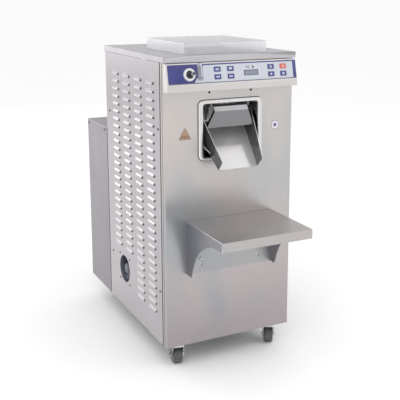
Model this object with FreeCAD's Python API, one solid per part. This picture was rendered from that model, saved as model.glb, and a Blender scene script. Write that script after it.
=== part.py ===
"""Floor-standing ice cream batch freezer: heated mix tank on top, horizontal freezing cylinder below it.

Millimetres. X runs to the machine's right as seen from the front, Y runs rearwards and Z runs up.
Every dimension below is measured from the cabinet: Y from the front sheet, Z from the cabinet's underside.
save() then shifts each finished piece so that the origin is on the floor, under the middle of the machine.
"""
import FreeCAD
import Part
import math
import os

V = FreeCAD.Vector

# Cabinet
SHEET = 1.5
HALF_WIDTH = 300.0
BODY_DEPTH = 697.0
PANEL_TOP = 1209.0
FRONT_RETURN = 35.0
COVER_BOTTOM = 1211.0
COVER_TOP = 1236.0
COVER_OVERHANG = 3.5
COVER_LIP = 18.0
HOUSING_FRONT = 700.5
HOUSING_REAR = 1000.0
HOUSING_TOP = 843.0
CASTOR_HEIGHT = 110.0

# Screws: (y, z) on each side panel and on the rear housing, (x, z) on the front panel, radii of their holes
PANEL_SCREWS = ((61.0, 237.0), (651.0, 237.0), (650.0, 932.0), (61.0, 937.0))
HOUSING_SCREWS = ((738.0, 826.0), (981.0, 824.0))
APRON_SCREW = (97.0, 1083.0)
SHELF_SCREW = (138.0, 378.5)
SCREW_HOLE = 2.3
SHELF_SCREW_HOLE = 4.3
GLAND = (220.0, 920.0)

# Skeleton: square members, the cylinder's two saddles and the shaft's bearing block
MEMBER = 30.0
MEMBER_WALL = 3.0
CROSS_WIDTH = 26.0
SADDLES = (160.0, 480.0)
BEARING_Y = 545.0
DECK = 775.0
MOTOR_BEAMS = (350.0, 500.0)

# Hang-on shelf
SHELF_REACH = 324.0
SHELF_HALF = 204.5
SHELF_TOP = 551.0
SHELF_SHEET = 2.0
LIP_BOTTOM = 512.0
GUSSET_X = 200.0
BRACKET_FOOT = 316.0
BRACKET_GAP = 0.3
KEYHOLE = (9.0, 355.0)

# Console: wedge in front of the panel, its face leaning back by FACE_TILT degrees
CONSOLE_TOP = 1207.0
CONSOLE_KNEE = 1121.0
CONSOLE_BOTTOM = 1095.0
CONSOLE_TOP_Y = -20.0
CONSOLE_KNEE_Y = -39.0
CONSOLE_BOTTOM_Y = -41.0
FACE_TILT = math.degrees(math.atan2(CONSOLE_TOP_Y - CONSOLE_KNEE_Y, CONSOLE_TOP - CONSOLE_KNEE))
MEMBRANE_THICKNESS = 0.8
KEY_SIZE = (30.0, 20.0)
KEY_ROWS = (-29.2, -60.0)
KEY_COLUMNS = (-75.0, -15.0, 175.0, 234.0)
KEY_GAP = 0.3
DISPLAY_CENTRE = (80.0, -49.2)
DISPLAY_SIZE = (68.0, 23.0)
LEVER_X = -200.7
LEVER_V = -46.1
LEVER_REACH = 100.0
SHAFT_RADIUS = 6.0
SHAFT_INNER_END = -230.0
VALVE_CENTRE = -204.8

# Mix tank, lid and what is in the tank
TANK_X = 170.0
TANK_Y = (60.0, 420.0)
TANK_FLOOR = 1150.0
TANK_CORNER = 20.0
GRID_Z = (1229.0, 1232.0)
GRID_GAP = 3.0
GRID_PITCH = 20.0
GRID_BAR = 6.0
GRID_SLOTS = (-120.0, 140.0)
LID_X = 192.0
LID_Y = (35.0, 440.0)
LID_TOP = 1284.0
LID_WALL = 4.0
LID_PIVOT = (450.0, 1246.0)
AGITATOR = (95.0, 300.0)
PROBE = (-150.0, 72.0)
OUTLET = (-150.0, 170.0)
PIPE_RADIUS = 9.0
VALVE_HALF = 22.0

# Freezing cylinder and its drive, all on the middle plane
CYLINDER_Z = 1035.0
CYLINDER_BORE = 90.0
CYLINDER_Y = (147.0, 520.0)
CYLINDER_WALL = 4.0
JACKET_RADIUS = 110.0
BEATER_Y = (154.0, 508.0)
BEATER_SHAFT = 14.0
MOTOR_Z = 640.0
PULLEY_Y = (585.0, 611.0)
DRIVEN_RADIUS = 80.0
DRIVING_RADIUS = 32.0
BELT_THICKNESS = 4.0
RUNNING = 0.05

# Discharge opening, hood, gate and chute
OPENING_X = 128.0
OPENING_Z = (814.0, 1036.0)
LINER_BACK = 132.0
LINER_CORNER = 12.0
PORT_MARGIN = 1.0
PORT_X = 40.0
PORT_Z = (955.0, 995.0)
HOOD_PIVOT = (10.0, 1027.0)
CHUTE_FRONT = (-73.0, 771.0)
CHUTE_SLOPE = 42.6
CHUTE_LENGTH = 240.0
CHUTE_HALF_FRONT = 90.0
CHUTE_WIDENING = 0.117
CHUTE_WALL_FRONT = 55.4
CHUTE_WALL_REAR = 91.0
CHUTE_FLARE = 0.036
CHUTE_PIN = (235.0, 12.0)

# Louvres pressed in the side panels
LOUVRE_LENGTH = 82.0
LOUVRE_PITCH = 35.3
LOUVRE_LOW = 129.5
LOUVRE_ROWS = 29
LOUVRE_COLUMNS = (143.0, 280.0, 420.0, 560.0)
LOUVRES_OVER_FAN = 24
LOUVRE_DEPTH = 6.5

# Side fan and condenser fan
FAN_CENTRE = (491.0, 195.0)
FAN_HOLE = 65.0
FAN_SCREW_REACH = 62.5
FAN_HALF = 70.0
CONDENSER_FAN_Z = 420.0
CONDENSER_FAN_RADIUS = 190.0

# Castors: kingpin places (x, y, wheel's turn about Z in degrees)
CASTORS = ((-228.0, 45.0, -12.0), (228.0, 45.0, -28.0), (-185.0, 880.0, 6.0), (185.0, 880.0, -5.0))
WHEEL_RADIUS = 37.5
WHEEL_WIDTH = 40.0
CASTOR_TRAIL = 28.0

ORIGIN_Y = (HOUSING_REAR - SHELF_REACH) / 2.0


def save(name, *solids):
    """Write one node, moved from the cabinet's own measures to the machine's frame."""
    shape = solids[0].copy() if len(solids) == 1 else Part.makeCompound(list(solids))
    shape.translate(V(0, -ORIGIN_Y, CASTOR_HEIGHT))
    shape.exportStep(os.path.join("parts", name + ".step"))


def box(x, y, z):
    """Block between pairs of low and high coordinates."""
    return Part.makeBox(x[1] - x[0], y[1] - y[0], z[1] - z[0], V(x[0], y[0], z[0]))


def rod(start, end, radius):
    """Solid round bar between two points."""
    start = V(*start)
    run = V(*end) - start
    return Part.makeCylinder(radius, run.Length, start, run)


def tube(start, end, outer, inner):
    """Round pipe between two points."""
    return rod(start, end, outer).cut(rod(start, end, inner))


def mirrored(shape):
    """The same shape on the other side of the middle plane."""
    return shape.mirror(V(0, 0, 0), V(1, 0, 0))


def both_sides(shape):
    """A shape together with its mirror image, as one fused tool."""
    return shape.fuse(mirrored(shape))


def fused(first, *others):
    """One solid from pieces that touch or overlap."""
    return first.multiFuse(list(others)).removeSplitter()


def prism(points, x):
    """Profile of (y, z) points pushed along X."""
    corners = [V(x[0], y, z) for y, z in points]
    face = Part.Face(Part.makePolygon(corners + corners[:1]))
    return face.extrude(V(x[1] - x[0], 0, 0))


def plate_on(corners, thickness):
    """Flat sheet on a planar polygon, thickened along its normal."""
    points = [V(*corner) for corner in corners]
    face = Part.Face(Part.makePolygon(points + points[:1]))
    normal = (points[1] - points[0]).cross(points[2] - points[1]).normalize()
    return face.extrude(normal * thickness)


def rounded(x, y, z, radius, along):
    """Block with its four edges parallel to one axis rounded."""
    solid = box(x, y, z)
    index = "XYZ".index(along)
    edges = [edge for edge in solid.Edges if abs(edge.tangentAt(edge.FirstParameter)[index]) > 0.99]
    return solid.makeFillet(radius, edges)


def on_face(shape):
    """Move a shape from the console face's own axes (X, outwards is -Y, up the face is +Z) onto it."""
    shape.rotate(V(0, 0, 0), V(1, 0, 0), -FACE_TILT)
    shape.translate(V(0, CONSOLE_TOP_Y, CONSOLE_TOP))
    return shape


def make_louvres(columns):
    """Hoods and slots on the +X side, for pairs of a column's Y and its louvre heights."""
    ends = (-LOUVRE_LENGTH / 2, LOUVRE_LENGTH / 2)
    outer = Part.Face(Part.makePolygon([V(-0.2, ends[0], 10), V(LOUVRE_DEPTH, ends[0], -4),
                                        V(-0.2, ends[0], -4), V(-0.2, ends[0], 10)]))
    inner = Part.Face(Part.makePolygon([V(-3.0, ends[0], 13.2), V(LOUVRE_DEPTH - 1.4, ends[0], -5),
                                        V(-3.0, ends[0], -5), V(-3.0, ends[0], 13.2)]))
    cavity = inner.extrude(V(0, LOUVRE_LENGTH - 3.0, 0))
    cavity.translate(V(0, 1.5, 0))
    hood = outer.extrude(V(0, LOUVRE_LENGTH, 0)).cut(cavity)
    slot = box((-3.0, 1.0), (ends[0] + 1.5, ends[1] - 1.5), (-4.0, 6.0))
    hoods = []
    slots = []
    for column_y, heights in columns:
        for height in heights:
            place = V(HALF_WIDTH, column_y, height)
            hoods.append(hood.translated(place))
            slots.append(slot.translated(place))
    return hoods, slots


def louvre_heights(count):
    """Heights of the highest louvres in a column."""
    top = LOUVRE_LOW + (LOUVRE_ROWS - 1) * LOUVRE_PITCH
    return [top - step * LOUVRE_PITCH for step in range(count)]


def side_holes(places, radius):
    """Tools that drill the +X side sheet at (y, z) places."""
    return [rod((HALF_WIDTH - 5, y, z), (HALF_WIDTH + 1, y, z), radius) for y, z in places]


def make_side_panel(with_fan):
    """Right-hand side panel; the left one is its mirror image and also carries the fan."""
    full = louvre_heights(LOUVRE_ROWS)
    short = louvre_heights(LOUVRES_OVER_FAN)
    columns = [(y, full if y < 300 else short) for y in LOUVRE_COLUMNS]
    hoods, slots = make_louvres(columns)
    front = FRONT_RETURN + 0.5
    sheet = box((HALF_WIDTH - SHEET, HALF_WIDTH), (front, BODY_DEPTH), (0, PANEL_TOP))
    returns = [box((HALF_WIDTH - 14, HALF_WIDTH - SHEET / 2), (y, y + SHEET), (0, PANEL_TOP))
               for y in (front, BODY_DEPTH - SHEET)]
    panel = sheet.cut(Part.makeCompound(slots))
    tools = side_holes(PANEL_SCREWS, SCREW_HOLE)
    if with_fan:
        tools += side_holes([FAN_CENTRE], FAN_HOLE)
        tools += side_holes(fan_screw_places(), SCREW_HOLE)
    panel = panel.cut(Part.makeCompound(tools))
    return panel.multiFuse(returns + hoods)


def fan_screw_places():
    """(y, z) of the four screws of the side fan."""
    reach = (-FAN_SCREW_REACH, FAN_SCREW_REACH)
    return [(FAN_CENTRE[0] + a, FAN_CENTRE[1] + b) for a in reach for b in reach]


def make_cabinet():
    """Sheet-metal casing: base tray, panels, top cover and rear housing."""
    tray = box((-298, 298), (2, 696), (0, 25)).cut(box((-296, 296), (4, 694), (2, 26)))
    notch = fused(box((285.5, 299), (35, 37.5), (-1, 26)), box((285.5, 299), (695, 697), (-1, 26)))
    save("base_tray", tray.cut(notch).cut(mirrored(notch)))

    front = box((-HALF_WIDTH, HALF_WIDTH), (0, FRONT_RETURN), (0, PANEL_TOP))
    front = front.cut(box((SHEET - HALF_WIDTH, HALF_WIDTH - SHEET), (SHEET, 99), (-1, PANEL_TOP + 1)))
    margin = 2.5
    tools = [rounded((-OPENING_X - margin, OPENING_X + margin), (-1, 3),
                     (OPENING_Z[0] - margin, OPENING_Z[1] + margin), 12, "Y"),
             rod((LEVER_X, -1, 1155.4), (LEVER_X, 3, 1155.4), 9)]
    for (x, z), radius in ((APRON_SCREW, SCREW_HOLE), (SHELF_SCREW, SHELF_SCREW_HOLE)):
        tools.append(both_sides(rod((x, -1, z), (x, 3, z), radius)))
    save("front_panel", front.cut(Part.makeCompound(tools)))

    save("left_side_panel", mirrored(make_side_panel(True)))
    save("right_side_panel", make_side_panel(False))

    rear = box((-298, 298), (697.5, 699), (800, PANEL_TOP))
    slots = [box((x - 90, x + 90), (697, 700), (z, z + 6))
             for x in (-150, 150) for z in range(1000, 1180, 20)]
    x, z = GLAND
    slots.append(rod((x, 690, z), (x, 705, z), 10.2))
    save("rear_panel", rear.cut(Part.makeCompound(slots)))

    side = HALF_WIDTH + COVER_OVERHANG
    cover = rounded((-side, side), (-COVER_LIP, 703.5), (COVER_BOTTOM, COVER_TOP), 3, "Z")
    cover = cover.cut(box((SHEET - side, side - SHEET), (SHEET - COVER_LIP, 702), (1200, COVER_TOP - SHEET)))
    notch = box((side - 2, side + 1), (SHEET - COVER_LIP, -12), (1205, COVER_TOP - SHEET))
    mouth = rounded((-TANK_X - 1, TANK_X + 1), (TANK_Y[0] - 1, TANK_Y[1] + 1), (1230, 1240),
                    TANK_CORNER + 1, "Z")
    save("top_cover", cover.cut(both_sides(notch)).cut(mouth))

    housing = box((-HALF_WIDTH, HALF_WIDTH), (HOUSING_FRONT, HOUSING_REAR), (0, HOUSING_TOP))
    housing = housing.cut(box((SHEET - HALF_WIDTH, HALF_WIDTH - SHEET), (690, HOUSING_REAR - SHEET),
                              (SHEET, HOUSING_TOP - SHEET)))
    tools = [box((-250, 250), (990, 1010), (60, 780)),
             both_sides(box((HALF_WIDTH - 3, HALF_WIDTH + 1), (713, 717), (819, 840)))]
    tools += [both_sides(hole) for hole in side_holes(HOUSING_SCREWS, SCREW_HOLE)]
    save("rear_housing", housing.cut(Part.makeCompound(tools)))
    make_rear_grille()


def make_rear_grille():
    """Recessed louvred cover of the condenser, in the rear housing's opening."""
    plate_y = 990.0
    pan = box((-249, 249), (plate_y, HOUSING_REAR), (61, 779))
    pan = pan.cut(box((-247.5, 247.5), (plate_y + SHEET, 1001), (62.5, 777.5)))
    slots = []
    blades = []
    for x in (-122, 122):
        for z in range(90, 760, 24):
            slots.append(box((x - 105, x + 105), (989, 993), (z - 6, z + 6)))
            blade = [(plate_y + 0.5, z + 8), (plate_y + 8, z - 4),
                     (plate_y + 8, z - 5.5), (plate_y + 0.5, z + 6.5)]
            blades.append(prism(blade, (x - 106, x + 106)))
    save("rear_grille", pan.cut(Part.makeCompound(slots)).multiFuse(blades))


def make_frame():
    """Corner posts, rails, cylinder saddles and the beater shaft's bearing block, as separate solids."""
    pieces = []
    outer_x = 295.5
    inner_x = outer_x - MEMBER
    front, rear = 40.0, 660.0
    for y, hollow_y in ((front, (front + MEMBER_WALL, front + MEMBER + 1)),
                        (rear, (rear - 1, rear + MEMBER - MEMBER_WALL))):
        corner = box((inner_x, outer_x), (y, y + MEMBER), (2, PANEL_TOP - 1))
        post = corner.cut(box((inner_x - 0.5, outer_x - MEMBER_WALL), hollow_y, (1, PANEL_TOP)))
        pieces += [post, mirrored(post)]
    beams = [(y, 520.0) for y in MOTOR_BEAMS] + [(y, DECK - MEMBER) for y in SADDLES + (BEARING_Y,)]
    for z in (520.0, DECK - MEMBER):
        rail = box((inner_x + 0.5, outer_x - MEMBER_WALL - 0.5), (front + MEMBER + 1, rear - 1),
                   (z, z + MEMBER))
        pieces += [rail, mirrored(rail)]
    for y, z in beams:
        pieces.append(box((-inner_x, inner_x), (y, y + CROSS_WIDTH), (z, z + MEMBER)))
    jacket = rod((0, 0, CYLINDER_Z), (0, 700, CYLINDER_Z), JACKET_RADIUS + 0.3)
    for y in SADDLES:
        pieces.append(box((-50, 50), (y, y + CROSS_WIDTH), (DECK, CYLINDER_Z)).cut(jacket))
    bearing = box((-45, 45), (BEARING_Y, BEARING_Y + CROSS_WIDTH), (DECK, CYLINDER_Z + 45))
    bore = rod((0, BEARING_Y - 5, CYLINDER_Z), (0, BEARING_Y + 35, CYLINDER_Z), BEATER_SHAFT + RUNNING)
    pieces.append(bearing.cut(bore))
    save("frame", *pieces)


def screw(place, outwards, head, shank, length, head_height):
    """Round-headed screw standing on a panel face."""
    place = V(*place)
    outwards = V(*outwards)
    cap = Part.makeCylinder(head, head_height, place, outwards)
    cap = cap.makeFillet(head_height * 0.6, [cap.Edges[0]])
    return cap.fuse(Part.makeCylinder(shank, length, place, outwards * -1))


def make_fasteners():
    """Panel screws, and the two shoulder screws that the shelf hangs on."""
    pieces = []
    for y, z in PANEL_SCREWS + HOUSING_SCREWS:
        right = screw((HALF_WIDTH, y, z), (1, 0, 0), 5, 2, 3, 2.4)
        pieces += [right, mirrored(right)]
    for y, z in fan_screw_places():
        pieces.append(screw((-HALF_WIDTH, y, z), (-1, 0, 0), 4.2, 1.9, 8, 2.2))
    x, z = APRON_SCREW
    apron = screw((x, 0, z), (0, -1, 0), 5, 2, 10, 2.4)
    x, z = SHELF_SCREW
    shoulder = screw((x, -3.2, z), (0, -1, 0), 8, 4, 12, 3)
    pieces += [apron, mirrored(apron), shoulder, mirrored(shoulder)]
    save("fasteners", *pieces)


def make_gland():
    """Cable gland through the rear panel, with a bore for the mains lead."""
    x, z = GLAND
    body = rod((x, 699, z), (x, 722, z), 14)
    neck = rod((x, 690, z), (x, 699, z), 10)
    bore = rod((x, 680, z), (x, 730, z), 5)
    save("cable_gland", body.fuse(neck).cut(bore))


def make_console():
    """Console wedge with its membrane, display, keys and the mix valve's lever."""
    outer = prism([(-0.3, CONSOLE_TOP), (CONSOLE_TOP_Y, CONSOLE_TOP), (CONSOLE_KNEE_Y, CONSOLE_KNEE),
                   (CONSOLE_BOTTOM_Y, CONSOLE_BOTTOM), (-0.3, CONSOLE_BOTTOM)], (-HALF_WIDTH, HALF_WIDTH))
    inner = prism([(1, CONSOLE_TOP - SHEET), (CONSOLE_TOP_Y + 1.2, CONSOLE_TOP - SHEET),
                   (CONSOLE_KNEE_Y + SHEET, CONSOLE_KNEE), (CONSOLE_BOTTOM_Y + SHEET, CONSOLE_BOTTOM + SHEET),
                   (1, CONSOLE_BOTTOM + SHEET)], (SHEET - HALF_WIDTH, HALF_WIDTH - SHEET))
    half_w = KEY_SIZE[0] / 2
    half_h = KEY_SIZE[1] / 2
    windows = []
    number = 0
    for v in KEY_ROWS:
        for x in KEY_COLUMNS:
            number += 1
            windows.append(box((x - half_w - KEY_GAP, x + half_w + KEY_GAP), (-4, 6),
                               (v - half_h - KEY_GAP, v + half_h + KEY_GAP)))
            key = rounded((x - half_w, x + half_w), (-1.8, 2.6), (v - half_h, v + half_h), 2, "Y")
            save("key_%d" % number, on_face(key))
    x, v = DISPLAY_CENTRE
    half_w = DISPLAY_SIZE[0] / 2
    half_h = DISPLAY_SIZE[1] / 2
    windows.append(box((x - half_w, x + half_w), (-4, 6), (v - half_h, v + half_h)))
    glass = box((x - half_w + 0.2, x + half_w - 0.2), (-1.2, 2.6), (v - half_h + 0.2, v + half_h - 0.2))
    save("display_window", on_face(glass))
    windows.append(rod((LEVER_X, -4, LEVER_V), (LEVER_X, 6, LEVER_V), 8))
    cutouts = on_face(Part.makeCompound(windows))
    save("console_housing", outer.cut(inner).cut(cutouts))

    membrane = on_face(box((-293, 298), (-MEMBRANE_THICKNESS, 0), (-83, -5)))
    save("keypad_membrane", membrane.cut(cutouts))
    make_lever()


def make_lever():
    """Quarter-turn lever of the transfer valve, its ring, and the valve with its two pipes."""
    face = -MEMBRANE_THICKNESS
    ring = Part.makeCone(26, 22.5, 6, V(LEVER_X, face, LEVER_V), V(0, -1, 0))
    ring = ring.cut(rod((LEVER_X, 1, LEVER_V), (LEVER_X, -20, LEVER_V), SHAFT_RADIUS + RUNNING))
    save("valve_escutcheon", on_face(ring))

    shaft = rod((LEVER_X, -SHAFT_INNER_END, LEVER_V), (LEVER_X, -LEVER_REACH, LEVER_V), SHAFT_RADIUS)
    collar = rod((LEVER_X, -LEVER_REACH + 14, LEVER_V), (LEVER_X, -LEVER_REACH, LEVER_V), 9)
    handle = rounded((LEVER_X - 11, LEVER_X + 11), (-LEVER_REACH - 8, -LEVER_REACH + 8),
                     (LEVER_V - 33, LEVER_V + 33), 7.5, "Z")
    handle = handle.makeFillet(3, [edge for edge in handle.Edges if abs(edge.CenterOfMass.z - LEVER_V) > 32])
    save("valve_lever", on_face(fused(shaft, collar, handle)))

    block = box((LEVER_X - VALVE_HALF, LEVER_X + VALVE_HALF),
                (-VALVE_CENTRE - VALVE_HALF, -VALVE_CENTRE + VALVE_HALF),
                (LEVER_V - VALVE_HALF, LEVER_V + VALVE_HALF))
    block = block.cut(rod((LEVER_X, 100, LEVER_V), (LEVER_X, 300, LEVER_V), SHAFT_RADIUS + RUNNING))
    valve_z = 1117.7
    x, y = OUTLET
    jacket_end = -JACKET_RADIUS - 0.6
    upper = fused(rod((x, y, TANK_FLOOR - SHEET - 0.2), (x, y, valve_z), PIPE_RADIUS),
                  rod((x, y, valve_z), (LEVER_X + VALVE_HALF + 0.2, y, valve_z), PIPE_RADIUS),
                  Part.makeSphere(PIPE_RADIUS, V(x, y, valve_z)))
    lower = fused(rod((LEVER_X, y, valve_z - 30), (LEVER_X, y, CYLINDER_Z), PIPE_RADIUS),
                  rod((LEVER_X, y, CYLINDER_Z), (jacket_end, y, CYLINDER_Z), PIPE_RADIUS),
                  Part.makeSphere(PIPE_RADIUS, V(LEVER_X, y, CYLINDER_Z)))
    save("transfer_valve", on_face(block), upper, lower)


def make_tank():
    """Mix tank with its grid, level probe, agitator and hinged clear lid."""
    tank = rounded((-TANK_X, TANK_X), TANK_Y, (TANK_FLOOR - SHEET, COVER_TOP + 1.5), TANK_CORNER, "Z")
    flange = rounded((-TANK_X - 10, TANK_X + 10), (TANK_Y[0] - 10, TANK_Y[1] + 10),
                     (COVER_TOP, COVER_TOP + 1.5), TANK_CORNER + 10, "Z")
    inner_y = (TANK_Y[0] + SHEET, TANK_Y[1] - SHEET)
    cavity = rounded((SHEET - TANK_X, TANK_X - SHEET), inner_y, (TANK_FLOOR, 1250), TANK_CORNER - SHEET, "Z")
    hole = rod((*OUTLET, 1140), (*OUTLET, 1160), 7)
    x, y = AGITATOR
    spindle = rod((x, y, TANK_FLOOR - 1), (x, y, 1200), 4)
    save("upper_tank", fused(tank, flange).cut(cavity).cut(hole).fuse(spindle))

    make_grid()

    x, y = PROBE
    knob = rod((x, y, 1232.2), (x, y, 1247), 9)
    knob = knob.makeFillet(3, [knob.Edges[0]])
    save("level_probe", knob.fuse(rod((x, y, 1165), (x, y, 1233), 3)))

    x, y = AGITATOR
    hub = tube((x, y, 1156), (x, y, 1198), 10, 4 + RUNNING)
    blades = [box((x + 9, x + 44), (y - 1.5, y + 1.5), (1156, 1176)) for _ in range(4)]
    for turn, blade in enumerate(blades):
        blade.rotate(V(x + 9, y, 1166), V(1, 0, 0), 35)
        blade.rotate(V(x, y, 0), V(0, 0, 1), 90 * turn)
    save("tank_agitator", hub.multiFuse(blades))
    make_lid()


def make_grid():
    """Safety grid in the tank's mouth: four border strips and the bars between them."""
    low, high = GRID_Z
    edge_x = TANK_X - GRID_GAP
    front = TANK_Y[0] + GRID_GAP
    rear = TANK_Y[1] - GRID_GAP
    bar_y = (TANK_Y[0] + TANK_CORNER, TANK_Y[1] - TANK_CORNER)
    short = TANK_X - TANK_CORNER
    outlines = [[(-short, front), (short, front), (edge_x, bar_y[0]), (-edge_x, bar_y[0])],
                [(-edge_x, bar_y[1]), (edge_x, bar_y[1]), (short, rear), (-short, rear)]]
    strips = [plate_on([(x, y, low) for x, y in outline], high - low) for outline in outlines]
    strips[0] = strips[0].cut(rod((*PROBE, low - 1), (*PROBE, high + 1), 4))
    first, last = GRID_SLOTS[0] - GRID_PITCH / 2, GRID_SLOTS[1] + GRID_PITCH / 2
    half = GRID_BAR / 2
    strips.append(box((-edge_x, first + half), bar_y, GRID_Z))
    strips.append(box((last - half, edge_x), bar_y, GRID_Z))
    centre = first + GRID_PITCH
    while centre < last - 1:
        strips.append(box((centre - half, centre + half), bar_y, GRID_Z))
        centre += GRID_PITCH
    save("tank_grid", *strips)


def make_lid():
    """Clear lid hinged along its rear edge on a pin in two blocks."""
    gap = 0.5
    lid = rounded((-LID_X, LID_X), LID_Y, (COVER_TOP + gap, LID_TOP), 8, "Z")
    top_edges = [edge for edge in lid.Edges if edge.BoundBox.ZMin > LID_TOP - 0.01]
    lid = lid.makeFillet(4, top_edges)
    lid = lid.cut(rounded((LID_WALL - LID_X, LID_X - LID_WALL), (LID_Y[0] + LID_WALL, LID_Y[1] - LID_WALL),
                          (1200, LID_TOP - LID_WALL), 5, "Z"))
    pivot_y, pivot_z = LID_PIVOT
    ear = box((140, 158), (LID_Y[1] - 2, pivot_y + 6), (pivot_z - 6, pivot_z + 6))
    lid = fused(lid, ear, mirrored(ear))
    save("tank_lid", lid.cut(rod((-200, *LID_PIVOT), (200, *LID_PIVOT), 3 + RUNNING)))

    pin = rod((-180, *LID_PIVOT), (180, *LID_PIVOT), 3)
    block = box((162, 178), (443.5, 458), (COVER_TOP, 1251))
    save("lid_hinge", fused(pin, block, mirrored(block)))


def make_discharge():
    """Bezel, recess, gate, hood and chute of the front opening."""
    outer = rounded((-148, 148), (-11, 0), (802, 1052), 22, "Y")
    outer = outer.makeFillet(3.5, [edge for edge in outer.Edges if edge.BoundBox.YMax < -10.9])
    inner = rounded((-OPENING_X, OPENING_X), (-12, 1), OPENING_Z, 11, "Y")
    save("opening_bezel", outer.cut(inner))

    make_liner()

    gate = box((-43.8, 43.8), (124, 129.8), (949, 1001))
    tab = rounded((-12, 12), (112, 125), (984, 992), 2, "X")
    save("discharge_gate", fused(gate, tab))
    make_hood()
    make_chute()


def make_liner():
    """Recess behind the bezel, welded from touching walls, corners, back strips, hangers and gate guides."""
    back = LINER_BACK - SHEET
    side = OPENING_X + SHEET
    low, high = OPENING_Z[0] - SHEET, OPENING_Z[1] + SHEET
    block = rounded((-side, side), (0, LINER_BACK), (low, high), LINER_CORNER, "Y")
    cavity = rounded((-OPENING_X, OPENING_X), (-1, LINER_BACK + 1), OPENING_Z, LINER_CORNER - SHEET, "Y")
    shell = block.common(box((-side, side), (0, back), (low, high))).cut(cavity)
    flat_x = side - LINER_CORNER
    columns = ((-side, -flat_x), (-flat_x, flat_x), (flat_x, side))
    rows = ((low, low + LINER_CORNER), (low + LINER_CORNER, high - LINER_CORNER), (high - LINER_CORNER, high))
    solids = [shell.common(box(column, (0, back), row)) for column in columns for row in rows
              if (column, row) != (columns[1], rows[1])]

    wall = block.common(box((-side, side), (back, LINER_BACK), (low, high)))
    port_x = PORT_X + PORT_MARGIN
    port_z = (PORT_Z[0] - PORT_MARGIN, PORT_Z[1] + PORT_MARGIN)
    for x, z in (((-side, -port_x), (low, high)), ((port_x, side), (low, high)),
                 ((-port_x, port_x), (low, port_z[0])), ((-port_x, port_x), (port_z[1], high))):
        solids.append(wall.common(box(x, (back, LINER_BACK), z)))

    hood_y, hood_z = HOOD_PIVOT
    ear = box((84, 88), (hood_y - 7, hood_y + 7), (hood_z - 7, OPENING_Z[1]))
    ear = ear.cut(rod((80, *HOOD_PIVOT), (90, *HOOD_PIVOT), 3 + RUNNING))
    pin_y, pin_z = chute_pin_place()
    cheek = box((122, OPENING_X), (pin_y - 9, pin_y + 9), (pin_z - 9, pin_z + 9))
    cheek = cheek.cut(rod((121, pin_y, pin_z), (126.5, pin_y, pin_z), 4 + RUNNING))
    rest = rod((130, 17.9, 869.1), (105, -26, 834), 3).common(box((90, OPENING_X), (-40, 40), (800, 900)))
    lip = box((40.5, 50), (121, 123.6), (945, OPENING_Z[1]))
    guide = box((44.4, 50), (123.6, back), (945, OPENING_Z[1]))
    for solid in (ear, cheek, rest, lip, guide):
        solids += [solid, mirrored(solid)]
    solids.append(box((-44, 44), (124, back), (944.5, 948.7)))
    save("recess_liner", *solids)


def chute_pin_place():
    """(y, z) of the chute's pivot pins, from their place along and above its floor."""
    turn = math.radians(CHUTE_SLOPE)
    along, above = CHUTE_PIN
    return (CHUTE_FRONT[0] + along * math.cos(turn) - above * math.sin(turn),
            CHUTE_FRONT[1] + along * math.sin(turn) + above * math.cos(turn))


def make_hood():
    """Flared sheet hood over the port, hung on a cross pin."""
    top = (-13.0, 1004.0, 78.0)
    bottom = (0.0, 935.0, 108.0)
    fold = (-2.0, 1022.0, 77.0)
    edge = (8.0, 1029.0, 80.0)
    sheets = []
    for (y0, z0, w0), (y1, z1, w1) in ((bottom, top), (top, fold), (fold, edge)):
        sheets.append(plate_on([(-w0, y0, z0), (w0, y0, z0), (w1, y1, z1), (-w1, y1, z1)], -SHEET))
    flange = plate_on([(bottom[2], bottom[0], bottom[1]), (bottom[2], bottom[0] + 14, bottom[1] + 3),
                       (top[2], top[0] + 14, top[1] + 3), (top[2], top[0], top[1])], -SHEET)
    pin = rod((-91, *HOOD_PIVOT), (91, *HOOD_PIVOT), 3)
    save("discharge_hood", fused(sheets[0], sheets[1], sheets[2], flange, mirrored(flange), pin))


def make_chute():
    """Tapered channel that hangs on two side pins and slopes down out of the opening."""
    half_rear = CHUTE_HALF_FRONT + CHUTE_WIDENING * CHUTE_LENGTH
    floor = plate_on([(-CHUTE_HALF_FRONT - SHEET, 0, 0), (CHUTE_HALF_FRONT + SHEET, 0, 0),
                      (half_rear + SHEET, CHUTE_LENGTH, 0), (-half_rear - SHEET, CHUTE_LENGTH, 0)], -SHEET)
    wall = plate_on([(CHUTE_HALF_FRONT, 0, 0), (half_rear, CHUTE_LENGTH, 0),
                     (half_rear + CHUTE_FLARE * CHUTE_WALL_REAR, CHUTE_LENGTH, CHUTE_WALL_REAR),
                     (CHUTE_HALF_FRONT + CHUTE_FLARE * CHUTE_WALL_FRONT, 0, CHUTE_WALL_FRONT)], SHEET)
    along, above = CHUTE_PIN
    pin_root = CHUTE_HALF_FRONT + CHUTE_WIDENING * along + 0.5
    pin = rod((pin_root, along, above), (126, along, above), 4)
    chute = fused(floor, wall, mirrored(wall), pin, mirrored(pin))
    chute.rotate(V(0, 0, 0), V(1, 0, 0), CHUTE_SLOPE)
    chute.translate(V(0, *CHUTE_FRONT))
    save("chute", chute)


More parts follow.
